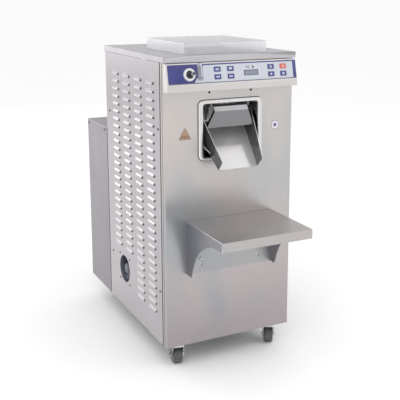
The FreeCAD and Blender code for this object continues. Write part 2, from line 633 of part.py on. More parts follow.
def make_cylinder():
    """Freezing cylinder with its front plate, insulation and beater."""
    axis = (0, CYLINDER_Z)
    front = rod((0, 134, axis[1]), (0, 146, axis[1]), 112)
    port = box((-PORT_X, PORT_X), (130, 150), PORT_Z)
    save("cylinder_front", front.cut(port))

    low, high = CYLINDER_Y
    outer = CYLINDER_BORE + CYLINDER_WALL
    barrel = tube((0, low, axis[1]), (0, high, axis[1]), outer, CYLINDER_BORE)
    back = tube((0, high, axis[1]), (0, high + 6, axis[1]), outer, BEATER_SHAFT + RUNNING)
    jacket = tube((0, low + 11, axis[1]), (0, high - 8, axis[1]), JACKET_RADIUS, outer + 0.2)
    save("freezing_cylinder", fused(barrel, back), jacket)

    low, high = BEATER_Y
    ring_width = 8.0
    rings = (low, high - ring_width)
    shaft = rod((0, low - 4, axis[1]), (0, 620, axis[1]), BEATER_SHAFT)
    pieces = [tube((0, y, axis[1]), (0, y + ring_width, axis[1]), 84, 74) for y in rings]
    for turn in range(3):
        spokes = [box((0, 78), (y, y + ring_width), (axis[1] - 5, axis[1] + 5)) for y in rings]
        blade = box((80, 88), BEATER_Y, (axis[1] - 6, axis[1] + 6))
        for piece in spokes + [blade]:
            piece.rotate(V(0, 0, axis[1]), V(0, 1, 0), 30 + 120 * turn)
            pieces.append(piece)
    save("beater", shaft.multiFuse(pieces))


def pulley(z, groove, rim, bore):
    """Flanged flat-belt pulley about the Y axis."""
    low, high = PULLEY_Y
    body = rod((0, low, z), (0, high, z), rim)
    body = body.cut(tube((0, low + 4, z), (0, high - 4, z), rim + 1, groove))
    return body.cut(rod((0, low - 1, z), (0, high + 1, z), bore)) if bore else body


def belt_outline(upper, lower, y):
    """Face bounded by the open belt line around two circles on the middle plane."""
    span = CYLINDER_Z - MOTOR_Z
    lean = math.asin((upper - lower) / span)
    across = math.cos(lean)
    rise = -math.sin(lean)
    points = {}
    for name, centre, radius in (("up", CYLINDER_Z, upper), ("down", MOTOR_Z, lower)):
        points[name] = [V(side * radius * across, y, centre + radius * rise) for side in (-1, 1)]
    top = Part.Arc(points["up"][0], V(0, y, CYLINDER_Z + upper), points["up"][1]).toShape()
    right = Part.makeLine(points["up"][1], points["down"][1])
    bottom = Part.Arc(points["down"][1], V(0, y, MOTOR_Z - lower), points["down"][0]).toShape()
    left = Part.makeLine(points["down"][0], points["up"][0])
    return Part.Face(Part.Wire([top, right, bottom, left]))


def make_drive():
    """Motor, pulleys and belt that turn the beater."""
    save("driven_pulley", pulley(CYLINDER_Z, DRIVEN_RADIUS, DRIVEN_RADIUS + 5, BEATER_SHAFT))
    shaft = rod((0, 538, MOTOR_Z), (0, PULLEY_Y[1] + 3, MOTOR_Z), 10)
    save("motor_pulley", fused(pulley(MOTOR_Z, DRIVING_RADIUS, DRIVING_RADIUS + 5, 0), shaft))

    can = rod((0, 345, MOTOR_Z), (0, 560, MOTOR_Z), 75)
    can = can.makeFillet(8, [edge for edge in can.Edges if edge.BoundBox.YLength < 0.01])
    feet = [box((-60, 60), (y, y + CROSS_WIDTH), (550, MOTOR_Z - 50)) for y in MOTOR_BEAMS]
    motor = fused(can, *feet).cut(rod((0, 535, MOTOR_Z), (0, 570, MOTOR_Z), 10 + RUNNING))
    save("drive_motor", motor)

    slack = 0.5
    low, high = PULLEY_Y[0] + 5, PULLEY_Y[1] - 5
    inner = belt_outline(DRIVEN_RADIUS + slack, DRIVING_RADIUS + slack, low)
    outer = belt_outline(DRIVEN_RADIUS + slack + BELT_THICKNESS, DRIVING_RADIUS + slack + BELT_THICKNESS, low)
    save("drive_belt", outer.cut(inner).extrude(V(0, high - low, 0)))


def fan_rotor(hub_radius, tip_radius, depth, blade_count):
    """Axial rotor about X at the origin: hub with pitched blades."""
    hub = rod((-depth / 2, 0, 0), (depth / 2, 0, 0), hub_radius)
    blades = []
    for turn in range(blade_count):
        blade = box((-1.2, 1.2), (-tip_radius * 0.26, tip_radius * 0.26), (hub_radius - 3, tip_radius * 0.95))
        blade.rotate(V(0, 0, 0), V(0, 0, 1), 55)
        blade.rotate(V(0, 0, 0), V(1, 0, 0), 360 * turn / blade_count)
        blades.append(blade)
    reach = rod((-depth / 2, 0, 0), (depth / 2, 0, 0), tip_radius)
    return hub.multiFuse(blades).common(reach)


def make_refrigeration():
    """Compressor, condenser and the two fans."""
    can = rod((30, 330, 20), (30, 330, 275), 90)
    can = can.makeFillet(30, [edge for edge in can.Edges if edge.BoundBox.ZLength < 0.01])
    feet = box((-75, 135), (225, 435), (2, 24))
    save("compressor", can.fuse(feet))

    core = box((-230, 230), (940, 972), (120, 720))
    grooves = [box((-224, 224), (y, y + 7), (z, z + 3)) for y in (939, 966) for z in range(132, 710, 12)]
    save("condenser", core.cut(Part.makeCompound(grooves)))

    centre = (0, CONDENSER_FAN_Z)
    radius = CONDENSER_FAN_RADIUS
    plate = box((-296, 296), (880, 882), (30, 820))
    plate = plate.cut(rod((0, 870, centre[1]), (0, 890, centre[1]), radius + 8))
    ring = tube((0, 800, centre[1]), (0, 881, centre[1]), radius + 11, radius + 8)
    motor = rod((0, 780, centre[1]), (0, 840, centre[1]), 45)
    arms = []
    for turn in range(3):
        arm = rod((0, 820, centre[1]), (0, 820, centre[1] + radius + 9), 6)
        arm.rotate(V(0, 0, centre[1]), V(0, 1, 0), 120 * turn)
        arms.append(arm)
    shroud = fused(plate, ring, motor, *arms).cut(rod((0, 815, centre[1]), (0, 850, centre[1]), 8 + RUNNING))
    save("fan_shroud", shroud)

    rotor = fan_rotor(40, radius, 36, 5)
    rotor.rotate(V(0, 0, 0), V(0, 0, 1), 90)
    rotor.translate(V(0, 866, centre[1]))
    save("condenser_fan", rotor.fuse(rod((0, 818, centre[1]), (0, 850, centre[1]), 8)))

    y, z = FAN_CENTRE
    body = rounded((-298.3, -262), (y - FAN_HALF, y + FAN_HALF), (z - FAN_HALF, z + FAN_HALF), 8, "X")
    body = body.cut(rod((-299, y, z), (-261, y, z), FAN_HOLE))
    stalk = rod((-270, y, z), (-262, y, z), 24)
    arms = []
    for turn in range(4):
        arm = rod((-266, y, z), (-266, y, z + FAN_HOLE + 2), 3)
        arm.rotate(V(-266, y, z), V(1, 0, 0), 45 + 90 * turn)
        arms.append(arm)
    body = fused(body, stalk, *arms).cut(rod((-271, y, z), (-264, y, z), 4 + RUNNING))
    holes = [rod((-299, *place), (-280, *place), 2.1) for place in fan_screw_places()]
    save("side_fan_frame", body.cut(Part.makeCompound(holes)))
    rotor = fan_rotor(25, FAN_HOLE - 3, 22, 7)
    rotor.translate(V(-284, y, z))
    save("side_fan_rotor", rotor.fuse(rod((-275, y, z), (-266, y, z), 4)))


def make_shelf():
    """Hang-on shelf: bent tray on a bracket of two curved gussets and a keyholed back plate."""
    sheet = box((-SHELF_HALF, SHELF_HALF), (-SHELF_REACH, -1), (SHELF_TOP - SHELF_SHEET, SHELF_TOP))
    lip = box((-SHELF_HALF, SHELF_HALF), (-SHELF_REACH, SHELF_SHEET - SHELF_REACH), (LIP_BOTTOM, SHELF_TOP))
    save("shelf_tray", fused(sheet, lip))

    under = SHELF_TOP - SHELF_SHEET - 0.1
    nose = SHELF_SHEET + 0.2 - SHELF_REACH
    toe = LIP_BOTTOM - 1
    profile = ((-BRACKET_GAP, under), (nose, under), (nose, toe), (-302, toe), (-128, 455), (-50, 333),
               (-40, BRACKET_FOOT), (-BRACKET_GAP, BRACKET_FOOT))
    points = [V(GUSSET_X, y, z) for y, z in profile]
    edges = [Part.makeLine(points[i], points[i + 1]) for i in (0, 1, 2)]
    edges.append(Part.Arc(*points[3:6]).toShape())
    edges += [Part.makeLine(points[i], points[(i + 1) % len(points)]) for i in (5, 6, 7)]
    gusset = Part.Face(Part.Wire(edges)).extrude(V(SHELF_SHEET, 0, 0))
    back = box((-GUSSET_X - 1, GUSSET_X + 1), (-BRACKET_GAP - SHELF_SHEET, -BRACKET_GAP),
               (BRACKET_FOOT, under))
    x, z = SHELF_SCREW
    hole_radius, hole_z = KEYHOLE
    slot = SHELF_SCREW_HOLE + 0.2
    keyhole = fused(rod((x, -5, hole_z), (x, 1, hole_z), hole_radius), rod((x, -5, z), (x, 1, z), slot),
                    box((x - slot, x + slot), (-5, 1), (hole_z, z)))
    bracket = fused(gusset, mirrored(gusset), back)
    save("shelf_bracket", bracket.cut(keyhole).cut(mirrored(keyhole)))


def make_castors():
    """Four swivel castors: plates with ball races, forks with kingpin and axle, wheels."""
    plates = []
    axle_z = WHEEL_RADIUS - CASTOR_HEIGHT
    half = WHEEL_WIDTH / 2
    cheek_x = (half + 2.5, half + 5.5)
    for number, (x, y, turn) in enumerate(CASTORS, 1):
        plate = fused(box((x - 38, x + 38), (y - 40, y + 40), (-3, 0)), rod((x, y, -8), (x, y, -2), 27))
        plates.append(plate.cut(rod((x, y, -9), (x, y, 1), 6 + RUNNING)))

        crown = rounded((-cheek_x[1], cheek_x[1]), (-24, 38), (-17, -8.3), 8, "Z")
        outline = [(-20, -12), (36, -12), (CASTOR_TRAIL + 12, axle_z - 2), (CASTOR_TRAIL + 5, axle_z - 12),
                   (CASTOR_TRAIL - 5, axle_z - 12), (CASTOR_TRAIL - 14, axle_z - 2)]
        cheek = prism(outline, cheek_x)
        axle = rod((-half - 12, CASTOR_TRAIL, axle_z), (half + 12, CASTOR_TRAIL, axle_z), 5)
        nut = rod((cheek_x[1] - 0.1, CASTOR_TRAIL, axle_z), (cheek_x[1] + 5, CASTOR_TRAIL, axle_z), 8)
        kingpin = rod((0, 0, -12), (0, 0, -0.5), 6)
        fork = fused(crown, cheek, mirrored(cheek), axle, nut, mirrored(nut), kingpin)

        wheel = rod((-half, CASTOR_TRAIL, axle_z), (half, CASTOR_TRAIL, axle_z), WHEEL_RADIUS)
        wheel = wheel.makeFillet(7, [edge for edge in wheel.Edges if edge.BoundBox.XLength < 0.01])
        for side in (-1, 1):
            past = side * (half + 1)
            recess = rod((side * (half - 3), CASTOR_TRAIL, axle_z), (past, CASTOR_TRAIL, axle_z), 24)
            boss = rod((side * (half - 4), CASTOR_TRAIL, axle_z), (past, CASTOR_TRAIL, axle_z), 10)
            wheel = wheel.cut(recess.cut(boss))
        bore = rod((-half - 1, CASTOR_TRAIL, axle_z), (half + 1, CASTOR_TRAIL, axle_z), 5 + RUNNING)
        wheel = wheel.cut(bore)
        for name, shape in (("castor_fork_%d" % number, fork), ("castor_wheel_%d" % number, wheel)):
            shape.rotate(V(0, 0, 0), V(0, 0, 1), turn)
            shape.translate(V(x, y, 0))
            save(name, shape)
    save("castor_plates", *plates)


os.makedirs("parts", exist_ok=True)
make_cabinet()
make_frame()
make_fasteners()
make_gland()
make_console()
make_tank()
make_discharge()
make_cylinder()
make_drive()
make_refrigeration()
make_shelf()
make_castors()
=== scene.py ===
"""Looks of the floor-standing batch freezer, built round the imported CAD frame."""
import math

import bmesh
import bpy
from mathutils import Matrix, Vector


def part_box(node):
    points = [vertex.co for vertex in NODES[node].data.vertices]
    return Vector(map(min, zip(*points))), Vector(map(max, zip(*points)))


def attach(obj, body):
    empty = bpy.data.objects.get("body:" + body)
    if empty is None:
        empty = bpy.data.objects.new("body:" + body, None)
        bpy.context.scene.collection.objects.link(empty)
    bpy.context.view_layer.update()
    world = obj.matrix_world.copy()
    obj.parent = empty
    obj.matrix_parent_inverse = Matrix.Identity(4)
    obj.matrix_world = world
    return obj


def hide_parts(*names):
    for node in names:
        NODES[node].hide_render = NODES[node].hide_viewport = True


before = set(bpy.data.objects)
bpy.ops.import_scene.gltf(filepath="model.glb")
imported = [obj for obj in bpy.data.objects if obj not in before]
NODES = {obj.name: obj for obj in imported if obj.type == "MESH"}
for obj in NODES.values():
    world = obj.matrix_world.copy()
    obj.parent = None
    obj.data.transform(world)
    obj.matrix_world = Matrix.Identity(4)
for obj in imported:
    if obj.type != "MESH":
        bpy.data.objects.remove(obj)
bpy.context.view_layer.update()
MM = 0.001

# Places are given in millimetres on the cabinet: x from its middle, y from the front sheet and z from its
# underside.
FRONT_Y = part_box("front_panel")[0].y
BASE_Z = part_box("front_panel")[0].z
HALF_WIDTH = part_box("front_panel")[1].x / MM
PANEL_TOP = (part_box("front_panel")[1].z - BASE_Z) / MM
COVER_TOP = (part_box("top_cover")[1].z - BASE_Z) / MM
# The console's face leans back by 19 mm over 86 mm of height; FACE_TOP is the y and z of its top edge.
FACE_TILT = math.atan2(19.0, 86.0)
FACE_TOP = (-20.0, 1207.0)


def at(x, y, z):
    """Point in the frame, in metres, from millimetres on the cabinet."""
    return Vector((x * MM, FRONT_Y + y * MM, BASE_Z + z * MM))


def on_face(x, out, up):
    """Point on the console's leaning face: out is along its normal, up is from its top edge."""
    y = FACE_TOP[0] - out * math.cos(FACE_TILT) + up * math.sin(FACE_TILT)
    z = FACE_TOP[1] + out * math.sin(FACE_TILT) + up * math.cos(FACE_TILT)
    return at(x, y, z)


# -------- materials

class Shader:
    """A material with its principled shader and small helpers to feed it."""

    # Nearly all values of a noise lie between these two.
    NOISE_LOW = 0.3
    NOISE_HIGH = 0.7

    def __init__(self, name, color, metallic=0.0, roughness=0.5, **sockets):
        self.material = bpy.data.materials.new(name)
        self.material.use_nodes = True
        self.tree = self.material.node_tree
        self.bsdf = self.tree.nodes["Principled BSDF"]
        self.set("Base Color", (*color, 1.0))
        self.set("Metallic", metallic)
        self.set("Roughness", roughness)
        for socket, value in sockets.items():
            self.set(socket.replace("_", " "), value)
        self.coords = self.tree.nodes.new("ShaderNodeTexCoord")
        self.normal = None

    def set(self, socket, value):
        self.bsdf.inputs[socket].default_value = value

    def link(self, a, b):
        self.tree.links.new(a, b)

    def noise(self, scale, stretch=(1, 1, 1), detail=3.0, rough=0.5, distort=0.0):
        """Noise over the piece's own coordinates, squeezed along each axis by stretch."""
        mapping = self.tree.nodes.new("ShaderNodeMapping")
        mapping.inputs["Scale"].default_value = stretch
        self.link(self.coords.outputs["Object"], mapping.inputs["Vector"])
        tex = self.tree.nodes.new("ShaderNodeTexNoise")
        tex.inputs["Scale"].default_value = scale
        tex.inputs["Detail"].default_value = detail
        tex.inputs["Roughness"].default_value = rough
        tex.inputs["Distortion"].default_value = distort
        self.link(mapping.outputs["Vector"], tex.inputs["Vector"])
        return tex.outputs["Fac"]

    def ramp(self, fac, *stops):
        """Colour ramp through (position, colour or grey) stops."""
        node = self.tree.nodes.new("ShaderNodeValToRGB")
        elements = node.color_ramp.elements
        while len(elements) < len(stops):
            elements.new(0.5)
        for element, (position, value) in zip(elements, stops):
            element.position = position
            element.color = (*value, 1.0) if isinstance(value, tuple) else (value, value, value, 1.0)
        self.link(fac, node.inputs["Fac"])
        return node.outputs["Color"]

    def spread(self, fac, low, high):
        """Stretch a noise so that it runs from low to high."""
        node = self.tree.nodes.new("ShaderNodeMapRange")
        node.inputs["From Min"].default_value = self.NOISE_LOW
        node.inputs["From Max"].default_value = self.NOISE_HIGH
        node.inputs["To Min"].default_value = low
        node.inputs["To Max"].default_value = high
        self.link(fac, node.inputs["Value"])
        return node.outputs["Result"]

    def mix(self, fac, a, b, blend="MIX"):
        """Mix two colours; each is a socket or a tuple."""
        node = self.tree.nodes.new("ShaderNodeMix")
        node.data_type = "RGBA"
        node.blend_type = blend
        for name, value in (("Factor", fac), ("A", a), ("B", b)):
            socket = [s for s in node.inputs if s.name == name and s.enabled][0]
            if isinstance(value, bpy.types.NodeSocket):
                self.link(value, socket)
            else:
                socket.default_value = (*value, 1.0) if isinstance(value, tuple) else value
        return [s for s in node.outputs if s.enabled][0]

    def shade_in(self, base, value, start, end, tone):
        """Base colour that turns into tone while value rises from start to end."""
        return self.mix(self.ramp(value, (start, 0.0), (end, 1.0)), base, tone)

    def math(self, operation, a, b=0.0):
        """One math node on sockets or numbers."""
        node = self.tree.nodes.new("ShaderNodeMath")
        node.operation = operation
        for socket, value in zip(node.inputs, (a, b)):
            if isinstance(value, bpy.types.NodeSocket):
                self.link(value, socket)
            else:
                socket.default_value = value
        return node.outputs["Value"]

    def position(self):
        """Separate object coordinates, in metres."""
        node = self.tree.nodes.new("ShaderNodeSeparateXYZ")
        self.link(self.coords.outputs["Object"], node.inputs["Vector"])
        return node.outputs

    def facing(self):
        """Which way each face looks, by axis."""
        node = self.tree.nodes.new("ShaderNodeSeparateXYZ")
        geometry = self.tree.nodes.new("ShaderNodeNewGeometry")
        self.link(geometry.outputs["True Normal"], node.inputs["Vector"])
        return node.outputs

    def feed(self, socket, value):
        self.link(value, self.bsdf.inputs[socket])

    def bump(self, height, strength, distance):
        """Raise or sink the surface a little; distance is in metres."""
        node = self.tree.nodes.new("ShaderNodeBump")
        node.inputs["Strength"].default_value = strength
        node.inputs["Distance"].default_value = distance
        self.link(height, node.inputs["Height"])
        if self.normal:
            self.link(self.normal, node.inputs["Normal"])
        self.normal = node.outputs["Normal"]
        self.feed("Normal", self.normal)


# Tones that multiply the steel's own.
CLOUD_TONE = 0.86
PATCH_BLUE = (0.84, 0.90, 0.93)
PATCH_MIDDLE = (0.98, 0.97, 0.96)
PATCH_BROWN = (1.05, 1.0, 0.98)
# Dark joint lines, painted as the shade in the joints' gaps: half their width in mm, and their tone.
SEAM_HALF = 3.2
SEAM_SHADE = (0.09, 0.09, 0.095)


def tint(color, factor):
    return tuple(min(1.0, channel * factor) for channel in color)


def steel(name, color, roughness, grain, metallic=1.0, variation=0.06, cloud=0.05, low=None, sides=None,
          painted_ups=None, painted_low_ups=None, painted_fronts=None, shaded_seams=(), patches=0.0):
    """Brushed stainless sheet; grain is the stretch of the brush lines along each axis.

    low is painted light and shade by height: the tone the sheet turns into towards the floor. sides, ups and
    fronts are painted light and shade by facing: the tones of the faces that look left or right, up, or
    forward, and painted_low_ups replaces ups towards the floor. seams are the places along the depth, in mm,
    of dark joint lines on the sides, painted as the shade in the joints' gaps. patches is the strength of the
    bluish and brownish patches.
    """
    s = Shader(name, color, metallic, roughness)
    lines = s.noise(1.0, grain, detail=4.0, rough=0.65)
    clouds = s.noise(3.2, (1, 1, 0.6), detail=2.0)
    smears = s.noise(11.0, (1, 1, 0.35), detail=5.0, rough=0.6, distort=0.6)
    base = color
    # Painted light and shade by height: the sheet turns into the low tone towards the floor.
    if low:
        height = s.math("DIVIDE", s.position()["Z"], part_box("front_panel")[1].z)
        rise = s.ramp(height, (0.12, 0.0), (0.85, 1.0))
        base = s.mix(rise, low, color)
    facing = s.facing() if sides or painted_ups or painted_fronts or shaded_seams else None
    # Painted light and shade by facing: faces that look left or right take the sides tone.
    if sides:
        base = s.shade_in(base, s.math("ABSOLUTE", facing["X"]), 0.4, 0.8, sides)
    # Painted light and shade on the faces that look up, with a tone of their own towards the floor.
    if painted_ups:
        painted_tops = s.mix(rise, painted_low_ups, painted_ups) if painted_low_ups else painted_ups
        base = s.shade_in(base, facing["Z"], 0.15, 0.4, painted_tops)
    # Painted shade on the faces that look forward.
    if painted_fronts:
        base = s.shade_in(base, s.math("MULTIPLY", facing["Y"], -1.0), 0.25, 0.55, painted_fronts)
    # Dark joint lines on the sides, painted as the shade in the joints' gaps.
    for seam in shaded_seams:
        away = s.math("ABSOLUTE", s.math("SUBTRACT", s.position()["Y"], at(0, seam, 0).y))
        on_side = s.math("GREATER_THAN", s.math("ABSOLUTE", facing["X"]), 0.9)
        base = s.mix(s.math("MULTIPLY", s.math("LESS_THAN", away, SEAM_HALF * MM), on_side), base, SEAM_SHADE)
    darker = s.mix(1.0, base, (1 - variation,) * 3, "MULTIPLY")
    lighter = s.mix(1.0, base, (1 + variation,) * 3, "MULTIPLY")
    clouded = s.mix(1.0, base, (CLOUD_TONE,) * 3, "MULTIPLY")
    brushed = s.mix(s.spread(lines, 0.0, 1.0), darker, lighter)
    toned = s.mix(s.spread(clouds, 0.0, cloud * 4), brushed, clouded)
    if patches:
        patch = s.ramp(s.noise(2.6, (1, 1, 0.7), detail=3.0, distort=0.5), (0.36, PATCH_BLUE),
                       (0.5, PATCH_MIDDLE), (0.64, PATCH_BROWN))
        toned = s.mix(patches, toned, s.mix(1.0, toned, patch, "MULTIPLY"))
    s.feed("Base Color", toned)
    brush_rough = s.spread(lines, roughness - 0.05, roughness + 0.05)
    s.feed("Roughness", s.math("ADD", brush_rough, s.spread(smears, -0.03, 0.05)))
    s.bump(lines, 0.12, 0.00012)
    return s.material


def plastic(name, color, roughness, grain_scale=900.0, grain=0.15, coat=0.0, variation=0.10):
    """Moulded plastic or rubber with fine texture and slight soiling."""
    s = Shader(name, color, 0.0, roughness, Coat_Weight=coat)
    fine = s.noise(grain_scale, detail=2.0)
    wide = s.noise(26.0, detail=4.0, rough=0.6)
    soiled = s.mix(s.spread(wide, 0.0, 1.0), tint(color, 1 - variation), tint(color, 1 + variation))
    s.feed("Base Color", soiled)
    s.feed("Roughness", s.spread(wide, roughness - 0.06, roughness + 0.08))
    s.bump(fine, grain, 0.0002)
    return s.material


def clear(name, color, alpha, roughness, painted_ups):
    """Clear moulded sheet: mostly see-through, denser where it is seen at a slant, with faint haze and wiping
    marks; ups is the painted shade of its top, a darker tone given to the faces that look up."""
    s = Shader(name, color, 0.0, roughness, IOR=1.49, Alpha=alpha)
    wipe = s.noise(9.0, (1, 3, 1), detail=6.0, rough=0.7, distort=0.8)
    s.feed("Roughness", s.spread(wipe, roughness, roughness + 0.04))
    hazed = s.mix(s.spread(wipe, 0.0, 1.0), tint(color, 0.985), tint(color, 1.01))
    # Painted shade: the faces that look up turn into the darker top tone.
    s.feed("Base Color", s.shade_in(hazed, s.facing()["Z"], 0.3, 0.9, painted_ups))
    slant = s.tree.nodes.new("ShaderNodeLayerWeight")
    slant.inputs["Blend"].default_value = 0.42
    s.feed("Alpha", s.ramp(slant.outputs["Facing"], (0.10, alpha), (0.85, min(1.0, alpha * 2.2))))
    s.bump(s.noise(40.0, detail=2.0), 0.03, 0.0002)
    return s.material


def display_material():
    """Blue-grey liquid crystal behind film, with a dark printed border and faint character cells."""
    color = (0.165, 0.185, 0.25)
    s = Shader("display", color, 0.0, 0.22, Coat_Weight=0.6)
    low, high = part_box("display_window")
    x, _, z = s.position()

    def within(value, start, end, share):
        """Whether a value lies in the middle share of a span."""
        away = s.math("ABSOLUTE", s.math("SUBTRACT", value, (start + end) / 2))
        return s.math("LESS_THAN", s.math("DIVIDE", away, (end - start) / 2), share)

    inside = s.math("MULTIPLY", within(x, low.x, high.x, 0.90), within(z, low.z, high.z, 0.74))
    columns = s.math("GREATER_THAN", s.math("SINE", s.math("MULTIPLY", x, 1500.0)), -0.55)
    rows = s.math("GREATER_THAN", s.math("SINE", s.math("MULTIPLY", z, 620.0)), -0.3)
    cells = s.math("MULTIPLY", columns, rows)
    glow = s.mix(s.math("MULTIPLY", cells, 0.16), color, (0.20, 0.25, 0.33))
    s.feed("Base Color", s.mix(inside, (0.025, 0.028, 0.06), glow))
    s.bump(s.noise(60.0), 0.02, 0.0001)
    return s.material


BLUE = (0.036, 0.038, 0.17)
FIELD = (0.50, 0.52, 0.57)
FOOT_LINE = (0.10, 0.10, 0.16)
# In metres: where the left blue field ends at its foot, how far its edge leans, where the right one starts.
BLUE_EDGE = -0.183
BLUE_LEAN = 0.052
BLUE_RIGHT = 0.282


def membrane_material():
    """Printed film: blue at the left up to a slanted edge, pale field, blue right end and top line, and a dark
    foot line."""
    s = Shader("membrane", FIELD, 0.0, 0.34, Coat_Weight=0.25)
    low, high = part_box("keypad_membrane")
    x, _, z = s.position()
    up = s.math("DIVIDE", s.math("SUBTRACT", z, low.z), high.z - low.z)
    slant = s.math("ADD", s.math("MULTIPLY", up, BLUE_LEAN), BLUE_EDGE)
    left = s.math("LESS_THAN", x, slant)
    right = s.math("GREATER_THAN", x, BLUE_RIGHT)
    top = s.math("GREATER_THAN", up, 0.93)
    blue = s.math("MAXIMUM", s.math("MAXIMUM", left, right), top)
    foot = s.math("LESS_THAN", up, 0.05)
    tone = s.noise(14.0, detail=3.0)
    field = s.mix(s.spread(tone, 0.0, 1.0), tint(FIELD, 0.95), FIELD)
    deep = s.mix(s.spread(tone, 0.0, 1.0), tint(BLUE, 0.8), tint(BLUE, 1.25))
    zones = s.mix(blue, field, deep)
    s.feed("Base Color", s.mix(foot, zones, FOOT_LINE))
    s.feed("Roughness", s.spread(s.noise(30.0), 0.28, 0.42))
    s.bump(s.noise(1400.0), 0.08, 0.0001)
    return s.material


# Stretch of the brush lines that run up, across or along the depth.
UPRIGHT = (900.0, 900.0, 9.0)
ACROSS = (9.0, 900.0, 900.0)
LENGTHWAYS = (900.0, 9.0, 900.0)
MATERIALS = {
    # Painted light and shade: dark forward faces (louvre ends and front fold), tones on the faces that look
    # up, and a lighter tone towards the floor.
    "side": steel("side_steel", (0.42, 0.395, 0.415), 0.34, UPRIGHT, painted_fronts=(0.03,) * 3,
                  painted_ups=(0.24, 0.23, 0.24), painted_low_ups=(0.62, 0.60, 0.62), low=(0.51, 0.48, 0.50)),
    "housing": steel("housing_steel", (0.30, 0.28, 0.305), 0.36, UPRIGHT),
    # Painted shade towards the floor and on the side returns; the joint lines are painted shade in the gaps.
    "front": steel("front_steel", (0.585, 0.57, 0.56), 0.31, UPRIGHT, low=(0.385, 0.36, 0.375), patches=1.0,
                   sides=(0.50, 0.48, 0.475), shaded_seams=(16.0, 34.0)),
    # Painted shade on the side lips and on the faces that look up.
    "top": steel("top_steel", (0.55, 0.54, 0.56), 0.42, ACROSS, sides=(0.46, 0.44, 0.46),
                 painted_ups=(0.47, 0.46, 0.485)),
    "console": steel("console_steel", (0.65, 0.625, 0.62), 0.46, ACROSS),
    # Painted highlight on the faces that look left or right.
    "shelf": steel("shelf_steel", (0.47, 0.45, 0.445), 0.34, ACROSS, variation=0.10, sides=(1.0,) * 3,
                   patches=0.5),
    # Painted shade on the faces that look left or right.
    "bracket": steel("bracket_steel", (0.40, 0.405, 0.42), 0.42, UPRIGHT, sides=(0.32, 0.315, 0.335),
                     patches=0.6),
    # Painted highlight on the slopes that look left or right.
    "bezel": steel("bezel_steel", (0.70, 0.69, 0.69), 0.34, ACROSS, cloud=0.02, sides=(1.0, 0.99, 0.98)),
    "liner": steel("liner_steel", (0.36, 0.35, 0.335), 0.24, LENGTHWAYS, variation=0.14, cloud=0.12),
    # Painted shade on the side walls.
    "chute": steel("chute_steel", (0.75, 0.735, 0.74), 0.13, LENGTHWAYS, metallic=0.58, cloud=0.06,
                   sides=(0.13, 0.135, 0.14)),
    # Painted light on the faces that look up.
    "hood": steel("hood_steel", (0.23, 0.225, 0.235), 0.26, LENGTHWAYS, cloud=0.10, painted_ups=(0.28, 0.28, 0.29)),
    "tank": steel("tank_steel", (0.42, 0.41, 0.42), 0.28, ACROSS),
    "inner": steel("inner_steel", (0.20, 0.205, 0.21), 0.5, UPRIGHT, variation=0.12, cloud=0.12),
    "zinc": steel("zinc_plate", (0.66, 0.67, 0.69), 0.24, (60.0,) * 3, variation=0.10),
    "chrome": steel("chrome", (0.33, 0.34, 0.39), 0.12, (40.0,) * 3, variation=0.03, cloud=0.02),
    # Painted shade on the cheeks, which look left or right.
    "fork": steel("fork_zinc", (0.72, 0.725, 0.74), 0.30, (60.0,) * 3, variation=0.14,
                  sides=(0.10, 0.10, 0.105)),
    "screw": steel("screw_steel", (0.05, 0.045, 0.05), 0.36, (300.0,) * 3),
    "stud": steel("stud_steel", (0.50, 0.50, 0.52), 0.30, (300.0,) * 3),
    "alu": steel("aluminium", (0.72, 0.73, 0.74), 0.40, (200.0,) * 3),
    "cast": plastic("cast_iron", (0.12, 0.125, 0.13), 0.55, 300.0, 0.4),
    "black": plastic("black_enamel", (0.02, 0.02, 0.022), 0.35, 400.0, 0.1),
    "dark": plastic("dark_plastic", (0.028, 0.028, 0.032), 0.42),
    "fan": plastic("fan_plastic", (0.12, 0.13, 0.16), 0.36),
    "white": plastic("acetal", (0.80, 0.79, 0.76), 0.38),
    "rubber": plastic("belt_rubber", (0.025, 0.025, 0.025), 0.7, 700.0, 0.4),
    "tyre": plastic("wheel_tyre", (0.095, 0.095, 0.098), 0.62, 700.0, 0.35, variation=0.18),
    "hub": plastic("wheel_hub", (0.22, 0.22, 0.225), 0.45, 500.0, 0.2),
    "key_blue": plastic("key_blue", (0.045, 0.048, 0.20), 0.36, 1200.0, 0.08),
    "key_red": plastic("key_red", (0.56, 0.11, 0.08), 0.36, 1200.0, 0.08),
    "icon": plastic("icon_white", (0.84, 0.85, 0.90), 0.45, 900.0, 0.05, variation=0.03),
    "mark": plastic("mark_dark", (0.02, 0.02, 0.06), 0.45, 900.0, 0.05),
    "ring": plastic("ring_white", (0.66, 0.66, 0.68), 0.28, 900.0, 0.05, coat=0.4, variation=0.04),
    "sticker_tan": plastic("sticker_tan", (0.40, 0.25, 0.17), 0.5, 900.0, 0.08),
    "sticker_brown": plastic("sticker_brown", (0.16, 0.10, 0.08), 0.5, 900.0, 0.08),
    "sticker_pale": plastic("sticker_pale", (0.70, 0.67, 0.72), 0.5, 900.0, 0.08, variation=0.04),
    "sticker_violet": plastic("sticker_violet", (0.16, 0.10, 0.22), 0.5, 900.0, 0.08),
    # Painted shade on the lid's top.
    "lid": clear("clear_lid", (0.97, 0.965, 0.985), 0.30, 0.08, (0.42, 0.415, 0.455)),
    "display": display_material(),
    "membrane": membrane_material(),
}

